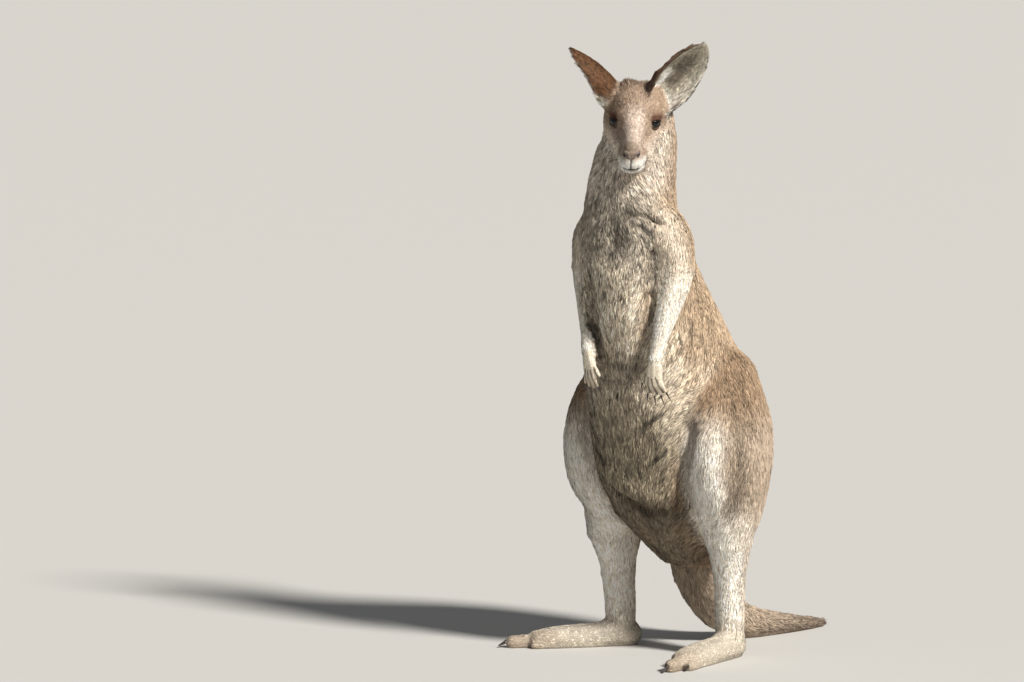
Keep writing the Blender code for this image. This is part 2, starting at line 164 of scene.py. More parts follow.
def addPiece(name, mesh, material, slot, *replaced):
    # a piece that belongs to the animal, wears this material and stands for the given solids
    piece = bpy.data.objects.new(name, mesh)
    bpy.context.scene.collection.objects.link(piece)
    mesh.materials.append(material)
    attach(piece, "root")
    if replaced:
        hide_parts(*replaced)
    return piece


def setAttribute(mesh, name, kind, values):
    # a named value for each vertex
    layer = mesh.attributes.new(name, kind, "POINT")
    values = np.ascontiguousarray(values, np.float32)
    if kind == "FLOAT_COLOR":
        values = np.hstack([values, np.ones((len(values), 1), np.float32)])
        layer.data.foreach_set("color", values.ravel())
    else:
        layer.data.foreach_set("value", values.ravel())


def paint(mesh, colours):
    # the colour that the hair materials read at each vertex
    setAttribute(mesh, "coatColour", "FLOAT_COLOR", colours)


def ringFaces(rows, columns, closedRows=False):
    # quads between rows of points whose columns close into rings
    i = np.arange(rows if closedRows else rows - 1)[:, None]
    j = np.arange(columns)[None, :]
    below, above = i * columns, ((i + 1) % rows) * columns
    after = (j + 1) % columns
    quads = np.stack([below + j, below + after, above + after, above + j], axis=-1)
    return quads.reshape(-1, 4)


def closedGrid(rows, columns):
    # triangles of a grid of rings between two poles, whose points come after the grid's
    quads = ringFaces(rows, columns)
    ring = np.arange(columns)
    after = (ring + 1) % columns
    first, last = rows * columns, (rows - 1) * columns
    caps = (
        np.stack([ring, after, np.full_like(ring, first)], axis=1),
        np.stack([last + after, last + ring, np.full_like(ring, first + 1)], axis=1),
    )
    return np.vstack([quads[:, [0, 1, 2]], quads[:, [0, 2, 3]], *caps])


def turnOut(mesh):
    # faces of a closed mesh turned to point outwards
    work = bmesh.new()
    work.from_mesh(mesh)
    bmesh.ops.recalc_face_normals(work, faces=work.faces)
    work.to_mesh(mesh)
    work.free()


# the head's own directions: side (left), back and up, from the midpoint between the eyes

headPose = {"turn": 31.5, "nod": 18.0, "tilt": 2.5, "eyeSetBack": 0.003}
headTurn = np.array(
    Matrix.Rotation(math.radians(headPose["turn"]), 3, "Z")
    @ Matrix.Rotation(math.radians(headPose["nod"]), 3, "X")
    @ Matrix.Rotation(math.radians(headPose["tilt"]), 3, "Y")
)
eyeCentre = {
    side: np.array(sum(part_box("eye_" + side), Vector()) / 2) for side in ("left", "right")
}
headOrigin = (eyeCentre["left"] + eyeCentre["right"]) / 2 - headTurn @ (0, headPose["eyeSetBack"], 0)


def toHead(points):
    # places in the head's own directions
    return (points - headOrigin) @ headTurn


def foldedOver(places):
    # places with every side made positive, so that both halves of the head count as one
    return np.column_stack([np.abs(places[:, 0]), places[:, 1:]])


def fromHead(points):
    # places in the head's own directions, back in the model's frame
    return np.asarray(points, float) @ headTurn.T + headOrigin


# skin

skinShape = {
    "voxel": 0.0026,
    "swell": 0.0012,  # solids are swollen by this before they are merged, so that they overlap
    "rounds": 120,
    "lowest": 0.0004,  # height of the soles above the floor
    "mostSmoothing": 0.016,
    "kept": 0.32,  # share of the faces that the plain parts of the body keep
}
# how far each part is smoothed and how deep the coat lies on it
skinParts = {
    "trunk": (0.016, 0.0045),
    "neck": (0.016, 0.0042),
    "head": (0.006, 0.002),
    "ear": (0.004, 0.0008),
    "tail_base": (0.013, 0.004),
    "tail_middle": (0.007, 0.004),
    "tail_tip": (0.003, 0.003),
    "thigh": (0.016, 0.0045),
    "shank": (0.007, 0.0028),
    "foot": (0.0038, 0.0014),
    "upper_arm": (0.013, 0.0034),
    "forearm": (0.0045, 0.0022),
    "hand": (0.0014, 0.001),
}
# folds and swellings: points along the stroke, its width, how far the skin moves out and the part that
# moves
bodyStrokes = {
    "chestCrease": (
        ((0.092, -0.33, 0.884), (0.113, -0.317, 0.893), (0.127, -0.301, 0.888), (0.143, -0.284, 0.875)),
        0.007,
        -0.007,
    ),
    "chestRoll": (((0.088, -0.33, 0.904), (0.118, -0.312, 0.91), (0.142, -0.288, 0.894)), 0.011, 0.004),
    "chestDip": (((0.066, -0.338, 0.872), (0.07, -0.338, 0.83)), 0.012, -0.005),
    "breastLeft": (((0.105, -0.322, 0.86), (0.106, -0.322, 0.835)), 0.024, 0.005),
    "breastRight": (((0.028, -0.33, 0.86), (0.026, -0.33, 0.835)), 0.024, 0.005),
    "armpitLeft": (((0.134, -0.298, 0.82), (0.139, -0.298, 0.745)), 0.012, -0.006),
    "armpitRight": (((-0.004, -0.32, 0.815), (-0.002, -0.32, 0.74)), 0.018, -0.006),
    "innerArmLeft": (
        ((0.138, -0.3, 0.735), (0.137, -0.301, 0.69), (0.126, -0.305, 0.655), (0.11, -0.31, 0.605)),
        0.013,
        -0.02,
        "trunk",
    ),
    "innerArmRight": (
        ((-0.002, -0.318, 0.735), (0.002, -0.316, 0.665), (0.014, -0.318, 0.605)), 0.019, -0.024, "trunk"
    ),
    "outerArmLeft": (
        ((0.196, -0.235, 0.765), (0.188, -0.258, 0.7), (0.18, -0.28, 0.64)), 0.011, -0.01, "trunk"
    ),
    "outerArmRight": (
        ((-0.082, -0.235, 0.765), (-0.068, -0.262, 0.7), (-0.05, -0.288, 0.64)), 0.011, -0.01, "trunk"
    ),
    "bellyRound": (((0.064, -0.335, 0.76), (0.068, -0.335, 0.69)), 0.045, 0.008, "trunk"),
    "underBelly": (
        ((-0.005, -0.31, 0.57), (0.058, -0.316, 0.556), (0.112, -0.3, 0.562)), 0.024, -0.014, "trunk"
    ),
    "pouchFold": (
        ((-0.02, -0.25, 0.352), (0.04, -0.248, 0.318), (0.085, -0.228, 0.296), (0.107, -0.215, 0.3)),
        0.011,
        -0.013,
    ),
    "pouchLip": (((-0.01, -0.25, 0.385), (0.04, -0.255, 0.355), (0.095, -0.236, 0.335)), 0.02, 0.007),
    "lowFold": (((0.08, -0.216, 0.284), (0.088, -0.2, 0.25), (0.092, -0.185, 0.22)), 0.008, -0.008),
    "lowBulgeLeft": (((0.118, -0.188, 0.262), (0.112, -0.17, 0.238)), 0.022, 0.008),
    "lowBulgeRight": (((0.045, -0.212, 0.265), (0.03, -0.21, 0.27)), 0.026, 0.006),
    "flankFoldLeft": (
        ((0.182, -0.226, 0.47), (0.172, -0.226, 0.425), (0.156, -0.219, 0.372), (0.143, -0.196, 0.3)),
        0.012,
        -0.014,
    ),
    "flankFoldRight": (
        ((-0.081, -0.226, 0.47), (-0.071, -0.226, 0.425), (-0.055, -0.219, 0.372), (-0.042, -0.196, 0.3)),
        0.012,
        -0.014,
    ),
    "earBaseLeft": (((0.0766, -0.2404, 1.1509), (0.0909, -0.2395, 1.1649)), 0.015, 0.0085),
    "earBaseRight": (((0.0495, -0.2538, 1.1489), (0.0347, -0.2631, 1.1623)), 0.015, 0.0085),
    "kneeLeft": (((0.205, -0.225, 0.42), (0.205, -0.22, 0.33)), 0.032, 0.004),
    "kneeRight": (((-0.104, -0.225, 0.42), (-0.104, -0.22, 0.33)), 0.032, 0.004),
    "thighHollowLeft": (((0.262, -0.15, 0.36), (0.246, -0.165, 0.3)), 0.026, -0.006),
    "thighHollowRight": (((-0.161, -0.15, 0.36), (-0.145, -0.165, 0.3)), 0.026, -0.006),
}
# the same on the face, in the head's own directions, for both sides: side, back, up
faceStrokes = {
    "socket": (((0.044, -0.004, 0.002),), 0.013, -0.005),
    "brow": (((0.026, -0.012, 0.02), (0.038, -0.003, 0.017), (0.048, 0.012, 0.011)), 0.0075, 0.0046),
    "tearGroove": (((0.038, -0.02, -0.006), (0.03, -0.036, -0.014)), 0.006, -0.0026),
    "cheekBone": (((0.047, 0.01, -0.026), (0.036, -0.03, -0.03)), 0.012, 0.0032),
    "muzzleHollow": (((0.027, -0.046, -0.012), (0.023, -0.074, -0.02)), 0.009, -0.0028),
    "templeHollow": (((0.046, 0.028, 0.024), (0.04, 0.045, 0.034)), 0.012, -0.0028),
    "noseTop": (((0.0, -0.098, -0.014), (0.006, -0.098, -0.016)), 0.01, 0.0042),
    "whiskerPad": (((0.013, -0.096, -0.046), (0.02, -0.078, -0.046)), 0.0085, 0.003),
    "mouth": (
        ((0.0, -0.105, -0.057), (0.011, -0.101, -0.056), (0.02, -0.086, -0.053), (0.026, -0.062, -0.05)),
        0.0038,
        -0.0055,
    ),
    "lowerLip": (((0.0, -0.099, -0.064), (0.016, -0.086, -0.061), (0.024, -0.066, -0.058)), 0.0042, 0.0016),
    "philtrum": (((0.0, -0.111, -0.036), (0.0, -0.105, -0.056)), 0.0024, -0.0034),
    "jawHollow": (((0.036, -0.005, -0.066), (0.026, -0.04, -0.07)), 0.012, -0.002),
}

fleshNodes = [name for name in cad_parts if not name.startswith(("claw_", "eye_"))]
partOf = np.array([name.replace("_left", "").replace("_right", "") for name in fleshNodes])
nodeNumber = {name: number for number, name in enumerate(fleshNodes)}


def mergedSolid(name):
    # a copy of a solid with its doubles merged
    work = bmesh.new()
    work.from_mesh(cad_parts[name].data)
    bmesh.ops.remove_doubles(work, verts=work.verts, dist=1e-6)
    bmesh.ops.recalc_face_normals(work, faces=work.faces)
    return work


def gatherFlesh(swell):
    # copies of the solids with doubles merged, each swollen along its normals, as arrays with owners
    places, faces, owners, count = [], [], [], 0
    for number, name in enumerate(fleshNodes):
        work = mergedSolid(name)
        work.verts.index_update()
        work.normal_update()
        spots = np.array([tuple(v.co + v.normal * swell) for v in work.verts])
        corners = np.array([[v.index for v in face.verts] for face in work.faces])
        work.free()
        places.append(spots)
        faces.append(corners + count)
        owners.append(np.full(len(corners), number))
        count += len(spots)
    return np.vstack(places), np.vstack(faces), np.concatenate(owners)


def facesOf(mesh, corners):
    # the corners of a mesh whose faces all have this many
    found = np.empty(len(mesh.loops), np.int32)
    mesh.loops.foreach_get("vertex_index", found)
    return found.reshape(-1, corners)


def edgesOf(faces):
    # each edge once, as pairs of vertex numbers
    after = np.roll(faces, -1, axis=1)
    pairs = np.sort(np.stack([faces.ravel(), after.ravel()], axis=1), axis=1).astype(np.int64)
    size = int(faces.max()) + 1
    code = np.unique(pairs[:, 0] * size + pairs[:, 1])
    return np.stack([code // size, code % size], axis=1)


def biggestShell(places, faces):
    # keeps the shell with the most vertices: each takes its neighbours' lowest number until none changes
    edges = edgesOf(faces)
    labels = np.arange(len(places))
    while True:
        low = np.minimum(labels[edges[:, 0]], labels[edges[:, 1]])
        after = labels.copy()
        np.minimum.at(after, edges[:, 0], low)
        np.minimum.at(after, edges[:, 1], low)
        after = after[after][after]
        if (after == labels).all():
            break
        labels = after
    kept = labels == np.bincount(labels).argmax()
    renumbered = np.cumsum(kept) - 1
    return places[kept], renumbered[faces[kept[faces].all(axis=1)]]


def relaxed(values, edges, rounds, share):
    # each round moves every value by its share of the way to the mean of its neighbours
    shape = values.shape
    values = values.reshape(len(values), -1).astype(float)
    share = np.broadcast_to(share, len(values))[:, None]
    size = len(values)
    first, second = edges[:, 0], edges[:, 1]
    degree = np.maximum(np.bincount(first, minlength=size) + np.bincount(second, minlength=size), 1)
    for _ in range(rounds):
        for axis in range(values.shape[1]):
            column = values[:, axis]
            total = np.bincount(first, column[second], size) + np.bincount(second, column[first], size)
            values[:, axis] += share[:, 0] * (total / degree - column)
    return values.reshape(shape)


def strokeMoves(points, strokes, mirror=False):
    # the sum over strokes of height times falloff, for both sides if mirror
    total = np.zeros(len(points))
    for line, width, height, *_ in strokes.values():
        for sign in (1, -1) if mirror and any(spot[0] for spot in line) else (1,):
            spots = [np.array((spot[0] * sign, *spot[1:])) for spot in line]
            total += height * falloff(nearLine(points, spots), width)
    return total


def evaluated(piece):
    # a new mesh with the piece's modifiers applied
    graph = bpy.context.evaluated_depsgraph_get()
    return bpy.data.meshes.new_from_object(piece.evaluated_get(graph))


def temporary(name, mesh):
    piece = bpy.data.objects.new(name, mesh)
    bpy.context.scene.collection.objects.link(piece)
    return piece


fleshPlaces, fleshFaces, fleshOwners = gatherFlesh(skinShape["swell"])
cadPlaces, cadFaces, _ = gatherFlesh(0)
cadTree = BVHTree.FromPolygons(cadPlaces.tolist(), cadFaces.tolist())

rough = temporary("roughSkin", makeMesh("roughSkin", fleshPlaces, fleshFaces))
voxels = rough.modifiers.new("Voxels", "REMESH")
voxels.mode = "VOXEL"
voxels.voxel_size = skinShape["voxel"]
merged = evaluated(rough)
bpy.data.objects.remove(rough, do_unlink=True)
skinPoints, skinFaces = biggestShell(pointsOf(merged), facesOf(merged, 4))
skinEdges = edgesOf(skinFaces)
report(f"solids merged into one shell of {len(skinPoints)} points")


def ownersOf(points):
    # the number of the solid nearest to each point
    return np.array([fleshOwners[cadTree.find_nearest(spot)[2]] for spot in points.tolist()])


owner = ownersOf(skinPoints)
smoothing, depth = np.array([skinParts[part] for part in partOf])[owner].T
for name in ("foot_left", "foot_right"):  # heels are rounder than toes
    low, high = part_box(name)
    fromHeel = (high.y - skinPoints[:, 1]) / (high.y - low.y)
    heel = skinParts["foot"][0] + 0.009 * ease(0.55, 0.3, fromHeel)
    smoothing = np.where(owner == nodeNumber[name], heel, smoothing)
smoothing, depth = (relaxed(values, skinEdges, 12, 0.6) for values in (smoothing, depth))
share = 0.6 * (smoothing / skinShape["mostSmoothing"]) ** 2
skinPoints = relaxed(skinPoints, skinEdges, skinShape["rounds"], share)
smoothMesh = makeMesh("smoothSkin", skinPoints, skinFaces)
skinNormals = normalsOf(smoothMesh)
onFloor = skinPoints[:, 2] < 0.004
skinPoints -= skinNormals * (depth + skinShape["swell"])[:, None]
above = np.maximum(skinPoints[:, 2], skinShape["lowest"])
skinPoints[:, 2] = np.where(onFloor, skinShape["lowest"], above)
for stroke in bodyStrokes.values():
    only = (partOf[owner] == stroke[3]) * 1.0 if len(stroke) > 3 else np.ones(len(owner))
    only = relaxed(only, skinEdges, 4, 0.5)
    skinPoints += skinNormals * (strokeMoves(skinPoints, {"one": stroke}) * only)[:, None]
report("skin smoothed and drawn in by the depth of the coat")

# the face is divided once more for its folds
moveTo(smoothMesh, skinPoints)
local = toHead(skinPoints)
finePoint = (partOf[owner] == "head") & (local[:, 1] < 0.022)
work = bmesh.new()
work.from_mesh(smoothMesh)
work.faces.ensure_lookup_table()
fineFace = np.where(finePoint[skinFaces].all(axis=1))[0]
fineEdges = {edge for number in fineFace.tolist() for edge in work.faces[number].edges}
bmesh.ops.subdivide_edges(work, edges=list(fineEdges), cuts=1, use_grid_fill=True)
bmesh.ops.triangulate(work, faces=work.faces)
work.to_mesh(smoothMesh)
work.free()
skinPoints = pointsOf(smoothMesh)
skinFaces = facesOf(smoothMesh, 3)
skinEdges = edgesOf(skinFaces)
owner = ownersOf(skinPoints)
local = toHead(skinPoints)
onFace = (partOf[owner] == "head") & (local[:, 1] < 0.05)
skinPoints = relaxed(skinPoints, skinEdges, 4, np.where(onFace, 0.5, 0))
moveTo(smoothMesh, skinPoints)
moves = np.where(partOf[owner] == "head", strokeMoves(toHead(skinPoints), faceStrokes, mirror=True), 0)
skinPoints += normalsOf(smoothMesh) * moves[:, None]
moveTo(smoothMesh, skinPoints)
skinNormals = normalsOf(smoothMesh)
report(f"face shaped, {len(skinFaces)} triangles")

# where a point lies on the body

earShape = {
    "left": ((0.034, 0.064, 0.032), (0.13, 0.06, 0.145), (0.25, -1.0, 0.0)),
    "right": ((-0.03, 0.068, 0.041), (-0.134, 0.074, 0.121), (-0.7, -0.1, -0.7)),
}  # root, tip and the way the hollow faces: side, back, up
earWidths = (
    (0, 0.14, 0.3, 0.5, 0.7, 0.86, 0.96, 1), (0.03, 0.034, 0.039, 0.039, 0.034, 0.024, 0.012, 0.004)
)


def earPlaces(points, side):
    # share of the ear's length, distance from its middle line as a share of its half width, and the ways
    # that its hollow faces and that it points
    root, tip, opening = (np.array(row) for row in earShape[side])
    along = unit(tip - root)
    opening = unit(opening - (opening @ along) * along)
    across = np.cross(along, opening)
    offset = toHead(points) - root
    length = offset @ along / np.linalg.norm(tip - root)
    width = np.interp(length, *earWidths)
    return length, (offset @ across) / width, headTurn @ opening, headTurn @ along


spine = {"foot": (0.0507, -0.033, 0.205), "top": (0.0507, -0.248, 0.83)}


def spinePlace(height):
    # the point of the spine's straight line at each height
    low, high = np.array(spine["foot"]), np.array(spine["top"])
    return low + ((height - low[2]) / (high[2] - low[2]))[:, None] * (high - low)


# markings, with painted shade in places, shared by the skin and the coat

coatColours = {
    "back": (0.33, 0.225, 0.145),
    "flank": (0.44, 0.322, 0.215),
    "groin": (0.2, 0.16, 0.112),
    "belly": (0.66, 0.56, 0.435),
    "lowBelly": (0.33, 0.275, 0.195),
    "chest": (0.39, 0.34, 0.272),
    "throat": (0.68, 0.58, 0.475),
    "nape": (0.36, 0.26, 0.18),
    "shoulder": (0.69, 0.585, 0.465),
    "forearm": (0.95, 0.85, 0.71),
    "hand": (0.93, 0.8, 0.63),
    "fingers": (0.62, 0.51, 0.39),
    "thigh": (0.39, 0.305, 0.225),
    "hip": (0.3, 0.205, 0.128),
    "rump": (0.49, 0.375, 0.28),
    "knee": (0.86, 0.79, 0.69),
    "shank": (0.95, 0.86, 0.74),
    "shankBack": (0.42, 0.34, 0.26),
    "foot": (0.6, 0.53, 0.43),
    "toes": (0.46, 0.37, 0.28),
    "tail": (0.4, 0.315, 0.235),
    "tailEnd": (0.15, 0.112, 0.084),
    "forehead": (0.31, 0.225, 0.16),
    "bridge": (0.5, 0.4, 0.33),
    "muzzleSide": (0.31, 0.235, 0.175),
    "cheek": (0.56, 0.46, 0.37),
    "lips": (0.88, 0.84, 0.76),
    "eyePatch": (0.13, 0.07, 0.045),
    "brow": (0.23, 0.15, 0.098),
    "crown": (0.13, 0.088, 0.06),
    "mouthLine": (0.02, 0.014, 0.012),
    "noseTop": (0.3, 0.235, 0.175),
    "earBack": (0.138, 0.064, 0.028),
    "earDark": (0.07, 0.05, 0.038),
    "earInside": (0.53, 0.48, 0.37),
    "earFringe": (0.7, 0.655, 0.57),
}


def layered(colour, c, layers):
    # named colours laid over a colour one after another, each by its share
    for name, share in layers:
        colour = mixed(colour, c[name], share)
    return colour


def markings(points, normals, owners):
    # the coat's colour at each point: each part's own colour, blended towards others by height, by the way
    # the skin faces and by distance from lines
    c = {name: np.array(colour) for name, colour in coatColours.items()}
    part = partOf[owners]
    ahead = -normals[:, 1]
    aside = np.abs(normals[:, 0])
    height = points[:, 2]
    blur = 0.12 * latticeNoise(points, 0.035, 3)
    front = ease(0.05, 0.7, ahead + blur)
    colour = np.tile(c["back"], (len(points), 1))

    def lay(where, values):
        colour[where] = values[where]

    trunk = mixed(c["back"], c["flank"], ease(0.35, 0.9, aside + blur) * ease(0.35, 0.55, height))
    # the belly darkens low down and most between the thighs: partly grey-dark fur, partly painted shade
    bellyLayers = (
        ("belly", ease(0.42, 0.62, height + 0.5 * blur)),
        ("groin", ease(0.38, 0.3, height + 0.3 * blur)),
        ("chest", ease(0.77, 0.83, height + 0.3 * blur)),
    )
    belly = layered(c["lowBelly"], c, bellyLayers)
    trunk = mixed(trunk, belly, front)
    nape = mixed(c["nape"], c["throat"], ease(-0.35, 0.35, ahead + blur))
    trunk = mixed(trunk, nape, ease(0.9, 0.98, height))
    lay(np.isin(part, ("trunk", "neck", "tail_base")), trunk)

    thighLayers = (
        ("rump", ease(0.0, 0.8, normals[:, 1] + blur) * ease(0.36, 0.5, height)),
        ("hip", ease(0.44, 0.54, height)),
        ("knee", ease(0.24, 0.7, ahead + blur) * ease(0.53, 0.42, height)),
    )
    shankLayers = (
        ("shankBack", 0.85 * ease(-0.1, 0.8, normals[:, 1] + 0.25 * aside + blur)),
        ("foot", ease(0.1, 0.05, height)),
    )
    thigh = layered(c["thigh"], c, thighLayers)
    shank = layered(c["shank"], c, shankLayers)
    leg = mixed(shank, thigh, ease(0.2, 0.36, height + 0.3 * blur))
    lay(np.isin(part, ("thigh", "shank")), leg)

    for side in ("left", "right"):
        low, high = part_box("foot_" + side)
        reach = (high.y - points[:, 1]) / (high.y - low.y)
        foot = mixed(c["foot"], c["toes"], ease(0.62, 0.95, reach + blur))
        lay(owners == nodeNumber["foot_" + side], foot)
        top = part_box("hand_" + side)[1].z
        hand = mixed(c["hand"], c["fingers"], ease(0.045, 0.075, top - height + 0.02 * blur))
        lay(owners == nodeNumber["hand_" + side], hand)

    lay(part == "upper_arm", mixed(c["flank"], c["shoulder"], ease(-0.3, 0.5, ahead + blur)))
    lay(part == "forearm", mixed(c["shoulder"], c["forearm"], ease(0.82, 0.72, height)))

    tailShare = ease(0.05, 0.36, points[:, 1])
    tail = mixed(c["tail"], c["tailEnd"], tailShare * 0.85)
    tail = mixed(tail, c["rump"], 0.6 * ease(0.2, 0.9, normals[:, 2]) * (1 - tailShare))
    lay(np.isin(part, ("tail_middle", "tail_tip")), tail)
    low = ease(0.34, 0.22, height) * ease(-0.3, 0.3, normals[:, 1])
    lay(part == "tail_base", mixed(trunk, c["tail"], low))

    lay(part == "head", headColours(toHead(points), c))
    for side in ("left", "right"):
        mine = owners == nodeNumber["ear_" + side]
        colour[mine] = earColours(points[mine], normals[mine], side, c)
    return colour


def headColours(local, c):
    # the face, in the head's own directions, by place and by distance from lines
    flat = foldedOver(local)
    side, back, up = flat.T

    def line(start, end, radius):
        return falloff(nearSegment(flat, start, end), radius)

    muzzle = ease(-0.078, -0.086, back)
    gap = falloff(up + 0.0575 - 0.06 * side, 0.003) * ease(0.015, 0.0105, side) * muzzle
    corner = np.linalg.norm(flat - (0.041, -0.0135, -0.003), axis=1)
    cleft = falloff(side, 0.0021) * ease(-0.034, -0.038, up) * ease(-0.06, -0.057, up) * muzzle
    layers = (
        ("cheek", ease(-0.004, -0.03, up) * ease(0.015, 0.035, side + 0.4 * back)),
        ("muzzleSide", 0.4 * line((0.03, -0.03, 0.002), (0.024, -0.07, -0.016), 0.01)),
        ("bridge", ease(0.024, 0.01, side) * ease(0.006, -0.034, back) * ease(-0.05, -0.028, up)),
        ("bridge", 0.55 * line((0.049, -0.004, -0.02), (0.03, -0.046, -0.026), 0.01)),
        ("throat", ease(-0.018, -0.042, up + 0.25 * (back + 0.03)) * ease(-0.075, -0.045, back)),
        ("lips", ease(-0.03, -0.043, up) * ease(-0.06, -0.09, back)),
        ("noseTop", ease(-0.086, -0.094, back) * ease(-0.034, -0.028, up) * ease(0.018, 0.012, side)),
        ("throat", ease(-0.062, -0.08, up) * ease(-0.02, 0.03, back)),
        ("brow", 0.75 * line((0.036, -0.006, 0.026), (0.054, 0.014, 0.018), 0.0095)),
        ("eyePatch", np.minimum(1, 1.2 * line((0.034, -0.012, 0.014), (0.053, 0.01, 0.012), 0.0085))),
        ("mouthLine", 0.97 * gap),
        ("mouthLine", 0.75 * line((0.012, -0.1, -0.056), (0.026, -0.062, -0.051), 0.0028)),
        ("eyePatch", 0.92 * np.exp(-((corner / 0.0068) ** 4))),
        ("mouthLine", 0.92 * cleft),
        ("nape", ease(0.045, 0.085, back) * ease(0.075, 0.04, up)),
        ("crown", 0.8 * line((0.004, 0.052, 0.06), (0.016, 0.06, 0.056), 0.009)),
        ("crown", 0.85 * line((0.022, 0.036, 0.06), (0.028, 0.052, 0.06), 0.009)),
    )
    return layered(c["forehead"], c, layers)


def earColours(points, normals, side, c):
    # outside: brown with a dark root; inside: grey, darker in the middle, with a pale edge and root, and
    # painted shade along the left ear's rim
    length, offset, opening = earPlaces(points, side)[:3]
    inside = ease(-0.15, 0.25, normals @ opening)
    edge = np.abs(offset)
    toRim = offset * (-1 if side == "left" else 1)
    outer = mixed(c["earBack"], c["earDark"], 0.7 * ease(0.2, 0.04, length))
    outer = mixed(outer, c["earFringe"], 0.7 * ease(0.86, 1.0, edge) * (toRim < 0))
    centre = ease(0.7, 0.15, edge) * ease(0.1, 0.26, length) * ease(0.9, 0.6, length)
    inner = mixed(c["earInside"], c["earDark"], 0.8 * centre)
    inner = mixed(inner, c["earFringe"], 0.55 * ease(0.5, 0.85, edge))
    inner = mixed(inner, c["earFringe"], 0.8 * ease(0.22, 0.1, length) * ease(0.3, -0.2, toRim))
    streak = falloff(toRim - 0.44, 0.2) * ease(0.04, 0.12, length) * ease(0.46, 0.36, length)
    inner = mixed(inner, c["lips"], streak)
    # painted shade: on the left ear only, the inner rim takes the dark of the ear's back in shade
    rim = 0.92 * ease(0.7, 0.84, edge) * (toRim > 0) * (side == "left")
    inner = mixed(inner, mixed(c["earDark"], c["earBack"], 0.5), rim)
    return mixed(outer, inner, inside)


skinColour = markings(skinPoints, skinNormals, owner)
sharp = np.isin(partOf[owner], ("head", "ear", "hand"))
skinColour = relaxed(skinColour, skinEdges, 26, np.where(sharp, 0.02, 0.7))
report("markings laid on")

# lie of the coat

# length, width, lift in degrees and speckle (share of light lost in dark flecks) of the tufts on each part
tuftParts = {
    "trunk": (0.0165, 0.00118, 15, 0.16),
    "neck": (0.0155, 0.00118, 17, 0.14),
    "head": (0.0065, 0.001, 16, 0.24),
    "ear": (0.0078, 0.001, 15, 0.5),
    "tail_base": (0.0165, 0.0012, 15, 0.14),
    "tail_middle": (0.0165, 0.0014, 16, 0.16),
    "tail_tip": (0.013, 0.0013, 16, 0.16),
    "thigh": (0.0175, 0.00125, 14, 0.14),
    "shank": (0.012, 0.0012, 14, 0.16),
    "foot": (0.0055, 0.0011, 14, 0.12),
    "upper_arm": (0.015, 0.0013, 16, 0.12),
    "forearm": (0.0085, 0.0011, 13, 0.1),
    "hand": (0.0026, 0.0008, 12, 0.06),
}
# lines where the coat parts and shows its dark roots, on both sides of the body where the last word says so
partings = {
    "hip": (((0.204, -0.16, 0.582), (0.222, -0.164, 0.558), (0.236, -0.166, 0.535)), True),
    "hipLow": (((0.238, -0.166, 0.523), (0.247, -0.168, 0.5)), True),
    "hipHigh": (((0.2, -0.12, 0.64), (0.214, -0.112, 0.612)), True),
    "flankHigh": (((0.171, -0.21, 0.68), (0.175, -0.217, 0.635)), True),
    "flankMiddle": (((0.178, -0.186, 0.655), (0.184, -0.175, 0.615)), True),
    "underElbow": (((0.153, -0.268, 0.6), (0.168, -0.242, 0.622)), True),
    "streakA": (((0.095, -0.276, 0.47), (0.134, -0.261, 0.5)), False),
    "streakB": (((0.104, -0.27, 0.44), (0.138, -0.258, 0.47)), False),
    "streakC": (((0.12, -0.262, 0.43), (0.15, -0.248, 0.462)), True),
    "streakD": (((0.106, -0.262, 0.396), (0.136, -0.252, 0.424)), True),
    "streakE": (((0.128, -0.25, 0.384), (0.152, -0.24, 0.41)), False),
    "streakF": (((0.142, -0.234, 0.37), (0.16, -0.228, 0.396)), True),
    "streakG": (((0.07, -0.276, 0.392), (0.092, -0.27, 0.41)), False),
    "chestLeft": (((0.118, -0.312, 0.872), (0.134, -0.298, 0.852)), False),
    "chestRight": (((0.012, -0.332, 0.903), (0.044, -0.334, 0.896)), False),
    "chestLow": (((0.034, -0.336, 0.872), (0.056, -0.337, 0.862)), False),
    "chestInner": (((0.084, -0.336, 0.862), (0.07, -0.337, 0.838)), False),
    "bellySpot": (((0.05, -0.338, 0.74), (0.052, -0.338, 0.728)), False),
    "groinA": (((0.02, -0.24, 0.318), (0.06, -0.226, 0.282)), False),
    "groinB": (((0.036, -0.236, 0.322), (0.072, -0.222, 0.29)), False),
    "thighFold": (((0.162, -0.222, 0.4), (0.154, -0.218, 0.36), (0.144, -0.2, 0.31)), True),
}
